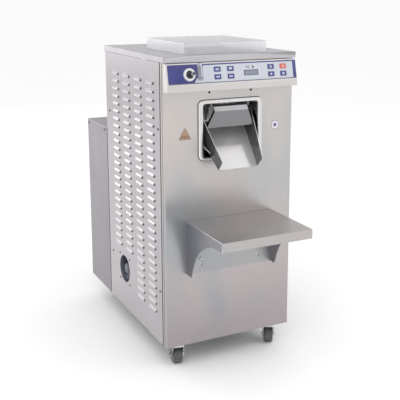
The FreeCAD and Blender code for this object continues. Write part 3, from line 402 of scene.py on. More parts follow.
CAD_LOOKS = {
    "console": ("console_housing",),
    "shelf": ("shelf_tray",),
    "bracket": ("shelf_bracket",),
    "liner": ("recess_liner", "cylinder_front"),
    "chute": ("chute",),
    "hood": ("discharge_hood",),
    "tank": ("upper_tank", "tank_grid", "tank_agitator", "transfer_valve"),
    "inner": ("base_tray", "frame", "freezing_cylinder"),
    "side": ("rear_panel", "left_side_panel", "right_side_panel"),
    "housing": ("rear_grille", "rear_housing"),
    "front": ("front_panel",),
    "top": ("top_cover",),
    "bezel": ("opening_bezel",),
    "zinc": ("castor_plates",),
    "fork": tuple("castor_fork_%d" % i for i in range(1, 5)),
    "chrome": ("valve_lever", "lid_hinge"),
    "ring": ("valve_escutcheon",),
    "screw": ("fasteners",),
    "alu": ("condenser", "drive_motor"),
    "cast": ("driven_pulley", "motor_pulley"),
    "black": ("compressor", "fan_shroud"),
    "dark": ("cable_gland", "level_probe", "condenser_fan"),
    "fan": ("side_fan_frame", "side_fan_rotor"),
    "white": ("beater", "discharge_gate"),
    "rubber": ("drive_belt",),
    "tyre": tuple("castor_wheel_%d" % i for i in range(1, 5)),
    "key_blue": tuple("key_%d" % i for i in (1, 2, 3, 5, 6, 7, 8)),
    "key_red": ("key_4",),
    "lid": ("tank_lid",),
    "display": ("display_window",),
    "membrane": ("keypad_membrane",),
}


def paint(obj, look):
    """Give an object one material."""
    obj.data.materials.clear()
    obj.data.materials.append(MATERIALS[look])


def add_bevel(obj, name, width, segments, angle):
    """Modifier that rounds the edges sharper than an angle; width is in mm."""
    bevel = obj.modifiers.new(name, "BEVEL")
    bevel.width = width * MM
    bevel.segments = segments
    bevel.limit_method = "ANGLE"
    bevel.angle_limit = math.radians(angle)
    return bevel


def soften(obj, width):
    """Weld an object and round its sharp edges."""
    weld = obj.modifiers.new("weld", "WELD")
    weld.merge_threshold = 0.00001
    add_bevel(obj, "bevel", width, 2, 35).harden_normals = True
    level_shading(obj)


def level_shading(obj):
    """Let the largest face at each corner set the shading, so that flat sheet stays flat."""
    level = obj.modifiers.new("level", "WEIGHTED_NORMAL")
    level.mode = "FACE_AREA"
    level.weight = 100
    level.keep_sharp = True


def smooth(obj, angle):
    """Smooth shading, with the edges sharper than the angle kept."""
    obj.data.polygons.foreach_set("use_smooth", [True] * len(obj.data.polygons))
    obj.data.set_sharp_from_angle(angle=math.radians(angle))


for look, names in CAD_LOOKS.items():
    for name in names:
        paint(NODES[name], look)

# Width in mm of the rounded edges of the nodes that show as CAD.
EDGE_WIDTHS = {
    "console_housing": 0.7, "shelf_tray": 0.9, "shelf_bracket": 0.2, "chute": 0.6, "discharge_hood": 0.6,
    "recess_liner": 0.5, "rear_panel": 0.5, "rear_grille": 0.5, "tank_grid": 0.6, "castor_plates": 0.6,
    "display_window": 0.4, "discharge_gate": 0.8,
    **{"key_%d" % i: 0.6 for i in range(1, 9)}, **{"castor_fork_%d" % i: 0.8 for i in range(1, 5)},
}
for name, width in EDGE_WIDTHS.items():
    soften(NODES[name], width)


# -------- mesh helpers

def piece(name, verts, faces, look, body, stands_for, slot, angle=None):
    """New mesh piece that rides on a body and may stand for CAD nodes; it is shaded smooth up to the angle."""
    mesh = bpy.data.meshes.new(name)
    mesh.from_pydata([tuple(v) for v in verts], [], faces)
    mesh.validate()
    obj = bpy.data.objects.new(name, mesh)
    bpy.context.scene.collection.objects.link(obj)
    paint(obj, look)
    if angle:
        smooth(obj, angle)
    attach(obj, body)
    if stands_for:
        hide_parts(*stands_for)
    return obj


def thicken(obj, thickness, bend=0.0):
    """Round a skin's folds, then give it the sheet's thickness inwards; both are in mm."""
    if bend:
        add_bevel(obj, "bend", bend, 3, 40)
    solid = obj.modifiers.new("sheet", "SOLIDIFY")
    solid.thickness = thickness * MM
    solid.offset = -1.0
    solid.use_even_offset = True
    level_shading(obj)


def weld_mesh(obj):
    """Merge coincident vertices and make normals point outwards."""
    mesh = bmesh.new()
    mesh.from_mesh(obj.data)
    bmesh.ops.remove_doubles(mesh, verts=mesh.verts, dist=0.00002)
    bmesh.ops.recalc_face_normals(mesh, faces=mesh.faces)
    mesh.to_mesh(obj.data)
    mesh.free()


def welded(name, mesh, look, body, stands_for, slot, angle):
    """Piece from (verts, faces) with its seams welded and its curves shaded smooth."""
    obj = piece(name, *mesh, look, body, stands_for, slot)
    weld_mesh(obj)
    smooth(obj, angle)
    return obj


def ring_quads(first, second, count):
    """Quads between two closed rings of count vertices whose numbers begin at first and at second."""
    return [(first + i, first + (i + 1) % count, second + (i + 1) % count, second + i) for i in range(count)]


def lathe(profile, steps, origin, axis, start=0.0):
    """Verts and quads of (radius, along) points in mm turned about an axis."""
    axis = Vector(axis).normalized()
    side = axis.orthogonal().normalized()
    other = axis.cross(side)
    verts = []
    for radius, along in profile:
        for step in range(steps):
            angle = start + 2 * math.pi * step / steps
            spoke = side * math.cos(angle) + other * math.sin(angle)
            verts.append(Vector(origin) + axis * along * MM + spoke * radius * MM)
    faces = []
    for ring in range(len(profile) - 1):
        faces += ring_quads(ring * steps, (ring + 1) * steps, steps)
    return verts, faces


def join(*parts):
    """Several (verts, faces) pairs as one."""
    verts = []
    faces = []
    for part_verts, part_faces in parts:
        shift = len(verts)
        verts += part_verts
        faces += [tuple(i + shift for i in face) for face in part_faces]
    return verts, faces


def arc(centre, radius, start, end, steps):
    """Points on an arc in a plane, angles in degrees."""
    angles = [math.radians(start + (end - start) * step / steps) for step in range(steps + 1)]
    return [(centre[0] + radius * math.cos(angle), centre[1] + radius * math.sin(angle)) for angle in angles]


def rounded_loop(x0, x1, z0, z1, radius):
    """Closed outline of a rounded rectangle, anticlockwise from the lower right corner."""
    left, right, low, high = x0 + radius, x1 - radius, z0 + radius, z1 - radius
    points = []
    for turn, corner in enumerate(((right, low), (right, high), (left, high), (left, low))):
        points += arc(corner, radius, 90 * turn - 90, 90 * turn, 8)
    return points


# -------- louvred side panels

# A louvre's length, its reach above and below its place, how far it stands out and the length of its rounded
# ends; then the pitch of the rows and the height of the lowest.
LOUVRE = {"length": 82.0, "above": 10.0, "below": 4.0, "depth": 6.5, "end": 13.0, "pitch": 35.3, "low": 129.5}
FULL_ROWS = 29
# Middle of each column along the depth, and its number of louvres counted from the top.
LOUVRE_COLUMNS = ((143.0, FULL_ROWS), (280.0, FULL_ROWS), (420.0, 24), (560.0, 24))
FAN = {"y": 491.0, "z": 195.0, "radius": 65.0, "screws": 62.5}
FAN_STEPS = 48
# Height of the plain sheet round the fan, under the two shorter columns, and the strip between them.
FAN_SHEET_TOP = 290.0
FAN_STRIP = 3
PANEL_FRONT = 38.0
PANEL_REAR = 697.0
FOLD = 5.0
PANEL_RETURN = 13.0
PANEL_SHEET = 1.2


def louvre_rise(along, down):
    """How far a louvre stands out, 0..1, from its place along its length and down its height, both 0..1."""
    end = min(along, 1 - along) * LOUVRE["length"] / LOUVRE["end"]
    across = math.sqrt(max(0.0, 1 - (1 - min(1.0, end)) ** 2))
    fall = math.sin(down * math.pi / 2) * 0.35 + down * 0.65
    return across * fall


def side_panel(side, with_fan):
    """Folded sheet with pressed louvres; side is -1 for the left, 1 for the right."""
    verts = []
    index = {}
    faces = []

    def vertex(y, z, out=0.0):
        key = (round(y, 3), round(z, 3), round(out, 3))
        if key not in index:
            index[key] = len(verts)
            verts.append(at(side * (HALF_WIDTH + out), y, z))
        return index[key]

    def face(points):
        loop = [vertex(*point) for point in points]
        faces.append(tuple(loop if side > 0 else loop[::-1]))

    top_row = LOUVRE["low"] + (FULL_ROWS - 1) * LOUVRE["pitch"]
    half = LOUVRE["length"] / 2
    steps_down = 5
    edge_fractions = [0, 0.012, 0.035, 0.07, 0.11, 0.16, 0.3, 0.5, 0.7, 0.84, 0.89, 0.93, 0.965, 0.988, 1]
    heights = [LOUVRE["above"] - (LOUVRE["above"] + LOUVRE["below"]) * step / steps_down
               for step in range(steps_down + 1)]
    rims = {}
    for centre, count in LOUVRE_COLUMNS:
        y0, y1 = centre - half, centre + half
        cursor = PANEL_TOP
        floor = FAN_SHEET_TOP if with_fan and count < FULL_ROWS else 0.0
        marks = [PANEL_TOP]
        for row in range(count):
            z = top_row - row * LOUVRE["pitch"]
            upper, lower = z + LOUVRE["above"], z - LOUVRE["below"]
            top_edge = [(y0 + (y1 - y0) * f, upper) for f in edge_fractions]
            face([(y0, cursor), *top_edge, (y1, cursor)])
            for a, b in zip(edge_fractions[:-1], edge_fractions[1:]):
                for u, v in zip(range(steps_down), range(1, steps_down + 1)):
                    corners = []
                    for f, step in ((a, u), (a, v), (b, v), (b, u)):
                        rise = LOUVRE["depth"] * louvre_rise(f, step / steps_down)
                        corner = (y0 + (y1 - y0) * f, z + heights[step], rise)
                        if corner not in corners:
                            corners.append(corner)
                    face(corners)
            marks += [z + h for h in heights]
            cursor = lower
        face([(y0, cursor), (y0, floor), (y1, floor), (y1, cursor)])
        marks.append(floor)
        rims[centre] = marks
    centres = [c for c, _ in LOUVRE_COLUMNS]
    edges = [PANEL_FRONT + FOLD] + [c + s * half for c in centres for s in (-1, 1)] + [PANEL_REAR - FOLD]
    strips = list(zip(edges[0::2], edges[1::2]))
    for number, (y0, y1) in enumerate(strips):
        left_marks = rims[centres[number - 1]] if number else [PANEL_TOP, 0.0]
        right_marks = rims[centres[number]] if number < len(centres) else [PANEL_TOP, 0.0]
        if not (with_fan and number == FAN_STRIP):
            left_marks = left_marks + ([0.0] if left_marks[-1] else [])
            right_marks = right_marks + ([0.0] if right_marks[-1] else [])
        face([(y0, z) for z in left_marks] + [(y1, z) for z in reversed(right_marks)])
    if with_fan:
        y0, y1 = centres[2] - half, centres[3] + half
        circle = []
        for i in range(FAN_STEPS):
            turn = 2 * math.pi * i / FAN_STEPS
            circle.append((FAN["y"] + FAN["radius"] * math.cos(turn),
                           FAN["z"] + FAN["radius"] * math.sin(turn)))
        quarter = FAN_STEPS // 4
        top, foot = (FAN["y"], FAN_SHEET_TOP), (FAN["y"], 0.0)
        one = [(y0, 0.0), (y0, FAN_SHEET_TOP), (centres[2] + half, FAN_SHEET_TOP), top]
        one += circle[quarter:3 * quarter + 1] + [foot]
        two = [top, (centres[3] - half, FAN_SHEET_TOP), (y1, FAN_SHEET_TOP), (y1, 0.0), foot]
        two += circle[3 * quarter:] + circle[:quarter + 1]
        face(one[::-1])
        face(two[::-1])
    for edge, sense in ((PANEL_FRONT, 1), (PANEL_REAR, -1)):
        bend = [(-FOLD + FOLD * math.cos(a), edge + sense * (FOLD - FOLD * math.sin(a)))
                for a in [math.pi / 2 * i / 4 for i in range(5)]]
        bend.append((-PANEL_RETURN, edge))
        for (out_a, y_a), (out_b, y_b) in zip(bend[:-1], bend[1:]):
            strip = [(y_a, PANEL_TOP, out_a), (y_a, 0.0, out_a), (y_b, 0.0, out_b), (y_b, PANEL_TOP, out_b)]
            face(strip if sense < 0 else strip[::-1])
    hand = "right" if side > 0 else "left"
    obj = piece(hand + "_side_sheet", verts, faces, "side", "cabinet", (hand + "_side_panel",), "panel_steel",
                40.0)
    thicken(obj, PANEL_SHEET)


side_panel(-1, True)
side_panel(1, False)


# -------- sheet-metal shells

SHEET = 1.5
SHEET_BEND = 2.6


def skin(name, loops, look, stands_for):
    """Shell of sheet from polygons given as lists of (x, y, z) in mm."""
    polygons = [([at(*point) for point in loop], [tuple(range(len(loop)))]) for loop in loops]
    obj = welded(name, join(*polygons), look, "cabinet", stands_for, "panel_steel", 180.0)
    thicken(obj, SHEET, SHEET_BEND)


def with_hole(x0, x1, z0, z1, hole):
    """Two polygons that fill a rectangle round a closed hole outline; both meet on the hole's middle line."""
    middle = (min(p[0] for p in hole) + max(p[0] for p in hole)) / 2
    low = min(p[1] for p in hole)
    high = max(p[1] for p in hole)
    halves = []
    for side, edge in ((1, x1), (-1, x0)):
        rim = [p for p in hole if side * (p[0] - middle) > 0.01]
        rim.sort(key=lambda p: math.atan2(p[1] - (low + high) / 2, side * (p[0] - middle)), reverse=True)
        halves.append([(middle, z0), (edge, z0), (edge, z1), (middle, z1), (middle, high), *rim,
                       (middle, low)])
    return halves[0], halves[1][::-1]


def front_panel():
    """Front pan: a face with the rounded opening, and folded side returns."""
    deep = 35.0
    hole = rounded_loop(-130.5, 130.5, 811.5, 1038.5, 12.0)
    one, two = with_hole(-HALF_WIDTH, HALF_WIDTH, 0.0, PANEL_TOP, hole)
    loops = [[(x, 0.0, z) for x, z in polygon] for polygon in (one, two)]
    for side in (-1, 1):
        x = side * HALF_WIDTH
        loops.append([(x, 0.0, 0.0), (x, deep, 0.0), (x, deep, PANEL_TOP), (x, 0.0, PANEL_TOP)])
    skin("front_sheet", loops, "front", ("front_panel",))


def top_cover():
    """Inverted pan with the tank's mouth; its front lip hangs in front of the panel and is not joined to the
    side lips, which start a notch behind it."""
    low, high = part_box("top_cover")
    side = high.x / MM
    front = (low.y - FRONT_Y) / MM
    rear = (high.y - FRONT_Y) / MM
    bottom = (low.z - BASE_Z) / MM
    hole = rounded_loop(-171.0, 171.0, 59.0, 421.0, 21.0)
    one, two = with_hole(-side, side, front, rear, hole)
    loops = [[(x, y, COVER_TOP) for x, y in polygon] for polygon in (one, two)]
    notch, notch_top = 4.5, COVER_TOP - 3
    for y in (front, rear):
        loops.append([(-side, y, bottom), (side, y, bottom), (side, y, COVER_TOP), (0, y, COVER_TOP),
                      (-side, y, COVER_TOP)])
    for s in (-1, 1):
        x = s * side
        loops.append([(x, front, COVER_TOP), (x, front + notch, notch_top), (x, front + notch, bottom),
                      (x, rear, bottom), (x, rear, COVER_TOP)])
    skin("top_sheet", loops, "top", ("top_cover",))


def rear_housing():
    """Condenser housing: five folded sides, open at the front, with the grille's opening at the back and a
    slot in each side."""
    low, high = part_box("rear_housing")
    y0 = (low.y - FRONT_Y) / MM
    y1 = (high.y - FRONT_Y) / MM
    top = (high.z - BASE_Z) / MM
    w = HALF_WIDTH
    seam = y0 + 15.0
    hole = [(-250.0, 60.0), (250.0, 60.0), (250.0, 780.0), (-250.0, 780.0)]
    one, two = with_hole(-w, w, 0.0, top, hole)
    loops = [[(x, y1, z) for x, z in polygon][::-1] for polygon in (one, two)]
    slot = [(13.0, 819.0), (17.0, 819.0), (17.0, 839.0), (13.0, 839.0)]
    for z in (0.0, top):
        loops.append([(-w, y0, z), (w, y0, z), (w, seam, z), (w, y1, z), (0.0, y1, z), (-w, y1, z),
                      (-w, seam, z)])
    for s in (-1, 1):
        one, two = with_hole(0.0, y1 - y0, 0.0, top, slot)
        loops += [[(s * w, y0 + y, z) for y, z in polygon] for polygon in (one, two)]
    skin("rear_housing_sheet", loops, "housing", ("rear_housing",))


front_panel()
top_cover()
rear_housing()


def band(outer, inner, section):
    """Band between two outlines of as many points; section is (share of the way inwards, height) points."""
    verts = []
    for share, height in section:
        for (ox, oz), (ix, iz) in zip(outer, inner):
            verts.append(at(ox + (ix - ox) * share, -height, oz + (iz - oz) * share))
    count = len(outer)
    faces = []
    for ring in range(len(section) - 1):
        faces += ring_quads(ring * count, (ring + 1) * count, count)
    return verts, faces


def bezel():
    """Domed frame round the opening, between the opening's outline and a larger one."""
    outer = rounded_loop(-148.0, 148.0, 802.0, 1052.0, 22.0)
    inner = rounded_loop(-128.0, 128.0, 814.0, 1036.0, 11.0)
    section = ((0.0, 0.0), (0.0, 6.0), (0.03, 8.2), (0.10, 9.8), (0.22, 10.7), (0.40, 11.0), (0.62, 10.9),
               (0.80, 10.2), (0.92, 8.8), (0.98, 6.8), (1.0, 4.5), (1.0, 0.0))
    verts, faces = band(outer, inner, section)
    count = len(outer)
    faces += ring_quads((len(section) - 1) * count, 0, count)
    welded("bezel_frame", (verts, faces), "bezel", "cabinet", ("opening_bezel",), "panel_steel", 60.0)


def bezel_shade_ring():
    """Painted shade: a thin dark ring round the frame's edge, standing for the shadow in the gap between frame
    and sheet.
    """
    outer = rounded_loop(-150.2, 150.2, 799.8, 1054.2, 24.2)
    inner = rounded_loop(-146.0, 146.0, 804.0, 1050.0, 20.0)
    section = ((0.0, 0.0), (0.0, 1.0), (1.0, 1.0), (1.0, 0.0))
    obj = piece("bezel_shade_ring", *band(outer, inner, section), "dark", "cabinet", (), "dark_plastic")
    weld_mesh(obj)


bezel()
bezel_shade_ring()


# -------- fasteners

def pan_head(place, outwards, radius, height, turn):
    """Domed screw head with a cross recess, as (verts, faces)."""
    profile = [(0.01, height * 0.55), (radius * 0.20, height * 0.55), (radius * 0.24, height),
               (radius * 0.55, height * 0.95), (radius * 0.82, height * 0.74), (radius * 0.97, height * 0.38),
               (radius, height * 0.08), (radius, -0.6)]
    steps = 24
    verts, faces = lathe(profile, steps, place, outwards, turn)
    # The four arms of the cross are sunk by about four tenths of the height.
    for ring in (2, 3):
        for step in range(0, steps, steps // 4):
            verts[ring * steps + step] -= Vector(outwards) * height * 0.45 * MM * 0.9
    return verts, faces


# Places of the screws: (y, z) on each side, (x, z) over the opening and (x, z) of the shelf's shoulder screws,
# whose heads stand a little out; then the (radius, height) of the heads.
SIDE_SCREWS = ((61, 237), (651, 237), (650, 932), (61, 937), (738, 826), (981, 824))
FRONT_SCREWS = ((-97, 1083), (97, 1083))
SHOULDER_SCREWS = ((-138, 378.5), (138, 378.5))
SHOULDER_OUT = 3.2
PANEL_HEAD = (5.0, 2.6)
FAN_HEAD = (4.4, 2.3)
SHOULDER_HEAD = (8.0, 3.0)


def fasteners():
    """Panel screws as one piece and the shelf's bright shoulder screws as another."""
    heads = []
    turn = 0.3
    for s in (-1, 1):
        for y, z in SIDE_SCREWS:
            turn += 0.7
            heads.append(pan_head(at(s * HALF_WIDTH, y, z), (s, 0, 0), *PANEL_HEAD, turn))
    for a in (-1, 1):
        for b in (-1, 1):
            turn += 0.5
            place = at(-HALF_WIDTH, FAN["y"] + a * FAN["screws"], FAN["z"] + b * FAN["screws"])
            heads.append(pan_head(place, (-1, 0, 0), *FAN_HEAD, turn))
    for x, z in FRONT_SCREWS:
        heads.append(pan_head(at(x, 0, z), (0, -1, 0), *PANEL_HEAD, turn + x))
    welded("screw_heads", join(*heads), "screw", "cabinet", ("fasteners",), "zinc", 50.0)
    studs = []
    for x, z in SHOULDER_SCREWS:
        place = at(x, -SHOULDER_OUT, z)
        studs.append(pan_head(place, (0, -1, 0), *SHOULDER_HEAD, turn + x))
        studs.append(lathe([(4.0, -10.0), (4.0, 0.0)], 20, place, (0, -1, 0)))
    welded("shoulder_screws", join(*studs), "stud", "cabinet", (), "zinc", 50.0)


fasteners()


# -------- valve lever

LEVER_X = -200.7
LEVER_UP = -46.1
FACE_NORMAL = Vector((0, -math.cos(FACE_TILT), math.sin(FACE_TILT)))
FACE_UP = Vector((0, math.sin(FACE_TILT), math.cos(FACE_TILT)))
# The handle's bar: how far out its middle stands, half its width and depth, and how square its outline is.
BAR_OUT = 100.0
BAR_HALF = (11.0, 8.0)
BAR_SQUARE = 0.55
BAR_STEPS = 28


def handle_bar():
    """Upright bar with a rounded outline that narrows at both ends, as (verts, faces)."""
    centre = on_face(LEVER_X, BAR_OUT, LEVER_UP)
    upper = [(0, 0.96), (10, 0.97), (22, 1.0), (27.5, 0.98), (30.6, 0.86), (32.4, 0.62), (33.0, 0.30)]
    levels = [(-along, share) for along, share in upper[:0:-1]] + upper
    verts = []
    for along, share in levels:
        for step in range(BAR_STEPS):
            angle = 2 * math.pi * step / BAR_STEPS
            c, s = math.cos(angle), math.sin(angle)
            across = BAR_HALF[0] * share * math.copysign(abs(c) ** BAR_SQUARE, c)
            out = BAR_HALF[1] * share * math.copysign(abs(s) ** BAR_SQUARE, s)
            level = centre + Vector((1, 0, 0)) * across * MM + FACE_NORMAL * out * MM
            verts.append(level + FACE_UP * along * MM)
    faces = []
    for level in range(len(levels) - 1):
        faces += ring_quads(level * BAR_STEPS, (level + 1) * BAR_STEPS, BAR_STEPS)
    last = len(verts) - BAR_STEPS
    faces += [tuple(range(BAR_STEPS))[::-1], tuple(range(last, last + BAR_STEPS))]
    return verts, faces


def lever():
    """Chrome shaft with a collar and the handle's bar, in a pale ring with a black gland."""
    root = on_face(LEVER_X, 0.0, LEVER_UP)
    shaft_profile = [(0.01, -228), (5.4, -228), (6.0, -227), (6.0, 6.0), (6.0, 60.0), (6.6, 78.0), (8.6, 84.0),
                     (9.0, 86.0), (9.0, 94.0)]
    shaft = lathe(shaft_profile, 32, root, FACE_NORMAL)
    welded("lever_handle", join(shaft, handle_bar()), "chrome", "lever", ("valve_lever",), "chrome", 45.0)
    ring_profile = [(6.3, 0.8), (6.3, 4.0), (15.6, 4.0), (16.0, 7.0), (17.4, 8.8), (20.0, 9.4), (23.2, 8.2),
                    (25.4, 5.4), (26.0, 2.4), (26.0, 0.8)]
    ring = lathe(ring_profile, 56, root, FACE_NORMAL)
    welded("lever_ring", ring, "ring", "cabinet", ("valve_escutcheon",), "chrome", 40.0)
    gland_profile = [(6.25, 1.0), (6.25, 8.0), (7.0, 9.0), (10.6, 9.0), (12.0, 7.6), (15.4, 4.2)]
    gland = lathe(gland_profile, 40, root, FACE_NORMAL)
    piece("lever_gland", *gland, "dark", "cabinet", (), "dark_plastic", 40.0)


lever()


# -------- key icons and printed marks

# Places of the keys' middles on the face, and how far out their caps stand.
KEY_ROWS = (-29.2, -60.0)
KEY_COLUMNS = (-75.0, -15.0, 175.0, 234.0)
KEY_FACE = 1.85
MARK_THICKNESS = 0.25


def bar(x, v, width, height, turn=0.0):
    """Outline of a rectangle about (x, v)."""
    c, s = math.cos(turn), math.sin(turn)
    w, h = width / 2, height / 2
    return [(x + a * c - b * s, v + a * s + b * c) for a, b in ((-w, -h), (w, -h), (w, h), (-w, h))]


def ring_parts(x, v, outer, inner, start, end, steps=14):
    """Arc band as a run of small quads."""
    out = arc((x, v), outer, start, end, steps)
    ins = arc((x, v), inner, start, end, steps)
    return [[ins[i], out[i], out[i + 1], ins[i + 1]] for i in range(steps)]


# Generic pictogram of each key, as outlines about the key's middle.
ICONS = (
    [bar(-5, 0, 7, 2), bar(5, 0, 7, 2), bar(0, 3.2, 15, 1.2), bar(0, -3.2, 15, 1.2)],
    [bar(x, 0, 2.2, 6.5) for x in (-6, -2, 2, 6)] + [bar(0, 4.8, 15, 1.2)],
    ring_parts(0, 0, 5.6, 4.2, 0, 360, 20) + [bar(0, 0, 2.4, 2.4)],
    ring_parts(0, -0.4, 5.2, 3.8, -230, 50) + [bar(0, 3.6, 1.5, 5.4)],
    [[(-8, 0), (-3, -4.5), (-3, 4.5)], bar(1, 0, 2.4, 7), bar(6, 0, 2.4, 7)],
    [bar(-6, 0, 2.4, 7), bar(-1, 0, 2.4, 7), [(3, -4.5), (8, 0), (3, 4.5)]],
    [bar(0, 0, 1.4, 11, turn) for turn in (0, math.pi / 3, -math.pi / 3)],
    [bar(0, v, 11, 1.6) for v in (-3.4, 0, 3.4)],
)


def tile(top, foot):
    """Low tile between two outlines of as many points, open underneath, as (verts, faces)."""
    count = len(top)
    sides = [(i, count + i, count + (i + 1) % count, (i + 1) % count) for i in range(count)]
    return top + foot, [tuple(range(count))] + sides


def flat_marks(name, outlines, base, look, body):
    """Thin raised print: each outline becomes a low tile on the console face. base is (x, out, up)."""
    x0, out, up0 = base
    tiles = []
    for outline in outlines:
        top, foot = ([on_face(x0 + x, height, up0 + v) for x, v in outline]
                     for height in (out, out - MARK_THICKNESS))
        tiles.append(tile(top, foot))
    piece(name, *join(*tiles), look, body, (), "membrane")


for number, icon in enumerate(ICONS, 1):
    row, column = divmod(number - 1, len(KEY_COLUMNS))
    place = (KEY_COLUMNS[column], KEY_FACE, KEY_ROWS[row])
    flat_marks("key_icon_%d" % number, icon, place, "icon", "key_%d" % number)

DROP = arc((0, -2.0), 4.2, 150, 390, 16) + [(0, 7.0)]
flat_marks("print_marks", [bar(-31, 0, 3.0, 9), *ring_parts(-19, 0, 6.0, 3.4, 60, 300, 12), DROP],
           (90.0, 1.05, -25.5), "mark", "cabinet")


# -------- stickers on the front

def label(name, outline, centre, out, look):
    """Thin sticker on the front panel, outline in mm about its centre."""
    top, foot = ([at(centre[0] + x, y, centre[1] + z) for x, z in outline] for y in (-out, 0.02))
    piece(name, *tile(top, foot), look, "cabinet", (), "membrane")


def rounded_triangle(size, radius):
    """Equilateral triangle with rounded corners, point up, about its centroid."""
    points = []
    height = size * math.sqrt(3) / 2
    corners = ((0, height * 2 / 3), (-size / 2, -height / 3), (size / 2, -height / 3))
    pull = 1 - radius * 2 / (height * 2 / 3)
    for turn, (x, z) in zip((30, 150, 270), corners):
        points += arc((x * pull, z * pull), radius, turn, turn + 120, 6)
    return points


def disc(radius, steps):
    """Round outline of so many points."""
    return arc((0, 0), radius, 0, 360 - 360 / steps, steps - 1)


# Middles of the two labels; each one's layers lie a little further out than the one before.
TRIANGLE = (-207.5, 912.0)
ROUND = (217.0, 925.0)
label("triangle_sticker_edge", rounded_triangle(58.0, 3.0), TRIANGLE, 0.25, "sticker_brown")
label("triangle_sticker_field", rounded_triangle(51.0, 2.0), TRIANGLE, 0.40, "sticker_tan")
for place in (-11, 0, 11):
    centre = (TRIANGLE[0] + place, TRIANGLE[1] - 5.5)
    label("triangle_sticker_mark_%d" % place, bar(0, 0, 6.5, 9.0), centre, 0.50, "sticker_brown")
label("round_sticker_edge", disc(20.0, 48), ROUND, 0.25, "sticker_violet")
label("round_sticker_field", disc(17.8, 48), ROUND, 0.40, "sticker_pale")
label("round_sticker_mark", disc(8.0, 24), ROUND, 0.50, "sticker_violet")


# -------- castor wheels

# Place (x, y) of each castor's swivel and its turn at rest, in degrees.
CASTORS = ((-228.0, 45.0, -12.0), (228.0, 45.0, -28.0), (-185.0, 880.0, 6.0), (185.0, 880.0, -5.0))
TRAIL = 28.0
AXLE_Z = -72.5


def castor_wheel(number, x, y, turn):
    """Grey tyre with a crowned tread, shoulder grooves and a dished hub."""
    angle = math.radians(turn)
    axis = Vector((math.cos(angle), math.sin(angle), 0))
    centre = at(x - TRAIL * math.sin(angle), y + TRAIL * math.cos(angle), AXLE_Z)
    half = [(27.5, 19.6), (31.0, 20.0), (33.8, 19.2), (35.7, 17.0), (36.5, 14.4), (36.3, 13.7), (36.8, 13.0),
            (37.3, 8.0)]
    tread = half + [(37.5, 0.0)] + [(r, -a) for r, a in reversed(half)]
    tyre = tread + [(27.0, -18.6), (27.0, 18.6), (27.5, 19.6)]
    welded("castor_tyre_%d" % number, lathe(tyre, 64, centre, axis), "tyre", "wheel_%d" % number,
           ("castor_wheel_%d" % number,), "wheel_rubber", 40.0)
    side = [(27.0, 18.4), (25.8, 19.0), (24.6, 17.4), (22.0, 15.6), (13.0, 15.0), (11.4, 16.4), (10.8, 19.4),
            (9.6, 20.0), (5.2, 20.0)]
    hub = side + [(r, -a) for r, a in reversed(side)] + [(27.0, 18.4)]
    welded("castor_hub_%d" % number, lathe(hub, 48, centre, axis), "hub", "wheel_%d" % number, (),
           "wheel_rubber", 40.0)


for number, castor in enumerate(CASTORS, 1):
    castor_wheel(number, *castor)


# -------- side fan

FAN_MIDDLE_X = -284.0
BLADES = 7
BLADE_ROOT = 24.0
BLADE_TIP = 59.0
BLADE_HALF = 0.7


def fan_blade(number, centre):
    """One swept, twisted blade as (verts, faces): a front and a rear grid of points, closed round the rim."""
    spans = 7
    chords = 6
    verts = []
    for skin_side in (BLADE_HALF, -BLADE_HALF):
        for i in range(spans + 1):
            radius = BLADE_ROOT + (BLADE_TIP - BLADE_ROOT) * i / spans
            pitch = math.radians(52 - 20 * i / spans)
            sweep = math.radians(360 / BLADES * number + 16 * (i / spans) ** 1.5)
            for j in range(chords + 1):
                share = j / chords - 0.5
                chord = (16.0 + 8.0 * i / spans) * share
                camber = 2.4 * (0.25 - share * share)
                angle = sweep + chord * math.cos(pitch) / radius
                depth = chord * math.sin(pitch) + camber + skin_side
                y, z = radius * math.cos(angle), radius * math.sin(angle)
                verts.append(centre + Vector((-depth, y, z)) * MM)
    row = chords + 1
    sheet = (spans + 1) * row
    faces = []
    for i in range(spans):
        for j in range(chords):
            a = i * row + j
            faces.append((a, a + 1, a + row + 1, a + row))
            faces.append((sheet + a, sheet + a + row, sheet + a + row + 1, sheet + a + 1))
    rim = list(range(row)) + [i * row + chords for i in range(1, spans + 1)]
    rim += [spans * row + j for j in range(chords - 1, -1, -1)] + [i * row for i in range(spans - 1, 0, -1)]
    for a, b in zip(rim, rim[1:] + rim[:1]):
        faces.append((a, sheet + a, sheet + b, b))
    return verts, faces


def side_fan():
    """Hub with its blades."""
    centre = at(FAN_MIDDLE_X, FAN["y"], FAN["z"])
    hub_profile = [(0.01, 11.0), (14.0, 10.8), (21.0, 9.0), (24.2, 5.0), (25.0, 1.0), (25.0, -11.0),
                   (4.0, -11.0), (4.0, -18.0), (0.01, -18.0)]
    parts = [lathe(hub_profile, 40, centre, (-1, 0, 0))]
    parts += [fan_blade(number, centre) for number in range(BLADES)]
    welded("side_fan_blades", join(*parts), "fan", "side_fan", ("side_fan_rotor",), "dark_plastic", 40.0)


side_fan()


# -------- floor, light and camera

FLOOR_REACH = 400.0


def floor():
    """Plain pale floor, large enough to fill every view."""
    s = Shader("floor", (0.98, 0.98, 0.98), 0.0, 0.9)
    s.feed("Base Color", s.mix(s.spread(s.noise(0.8), 0.0, 1.0), (0.97, 0.97, 0.97), (0.985, 0.985, 0.985)))
    mesh = bpy.data.meshes.new("floor")
    corners = ((-1, -1), (1, -1), (1, 1), (-1, 1))
    mesh.from_pydata([(x * FLOOR_REACH, y * FLOOR_REACH, 0) for x, y in corners], [], [(0, 1, 2, 3)])
    obj = bpy.data.objects.new("floor", mesh)
    mesh.materials.append(s.material)
    bpy.context.scene.collection.objects.link(obj)


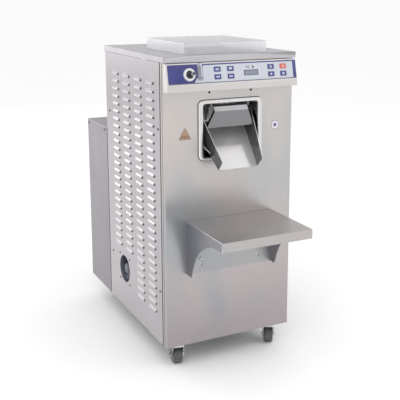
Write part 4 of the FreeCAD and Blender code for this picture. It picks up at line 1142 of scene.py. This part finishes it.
def softbox(name, location, target, size, power):
    """White rectangular area light aimed at a point; metres and watts."""
    data = bpy.data.lights.new(name, "AREA")
    data.shape = "RECTANGLE"
    data.size, data.size_y = size
    data.energy = power
    obj = bpy.data.objects.new(name, data)
    obj.location = location
    obj.rotation_euler = (Vector(target) - Vector(location)).to_track_quat("-Z", "Y").to_euler()
    obj.visible_camera = False
    bpy.context.scene.collection.objects.link(obj)


HORIZON = (0.74, 0.735, 0.74, 1.0)
OVERHEAD = (1.0, 1.0, 1.0, 1.0)
DOME_STRENGTH = 1.035


def world_light():
    """Even studio dome, brighter overhead and dimmer round the horizon."""
    world = bpy.data.worlds.new("studio")
    bpy.context.scene.world = world
    world.use_nodes = True
    tree = world.node_tree
    coords = tree.nodes.new("ShaderNodeTexCoord")
    split = tree.nodes.new("ShaderNodeSeparateXYZ")
    ramp = tree.nodes.new("ShaderNodeValToRGB")
    tree.links.new(coords.outputs["Generated"], split.inputs["Vector"])
    tree.links.new(split.outputs["Z"], ramp.inputs["Fac"])
    elements = ramp.color_ramp.elements
    elements[0].position = 0.0
    elements[0].color = HORIZON
    elements[1].position = 0.75
    elements[1].color = OVERHEAD
    background = tree.nodes["Background"]
    tree.links.new(ramp.outputs["Color"], background.inputs["Color"])
    background.inputs["Strength"].default_value = DOME_STRENGTH
    bpy.context.scene.view_settings.view_transform = "Standard"


LENS = 68.71
SENSOR = 36.0
SHIFT = (-0.030, -0.136)
CAMERA_AT = (-1474.4, -2764.2, 1491.7)
LOOKS_DOWN = 11.53
LOOKS_RIGHT = 26.69


def camera():
    """Long lens from the front left, above the height of the lid, looking down."""
    data = bpy.data.cameras.new("camera")
    data.lens = LENS
    data.sensor_width = SENSOR
    data.shift_x, data.shift_y = SHIFT
    data.clip_end = 1000.0
    obj = bpy.data.objects.new("camera", data)
    obj.location = at(*CAMERA_AT)
    obj.rotation_euler = (math.radians(90 - LOOKS_DOWN), 0.0, math.radians(-LOOKS_RIGHT))
    bpy.context.scene.collection.objects.link(obj)
    bpy.context.scene.camera = obj


floor()
softbox("key_light", (-2.4, -2.8, 4.2), (0, 0, 0.7), (3.6, 3.6), 60.0)
softbox("fill_light", (2.8, -3.0, 3.6), (0, 0, 0.7), (3.0, 3.0), 30.0)
softbox("side_light", (-2.9, 5.8, 1.9), (-0.3, 0.2, 0.7), (3.0, 1.6), 52.0)
world_light()
camera()
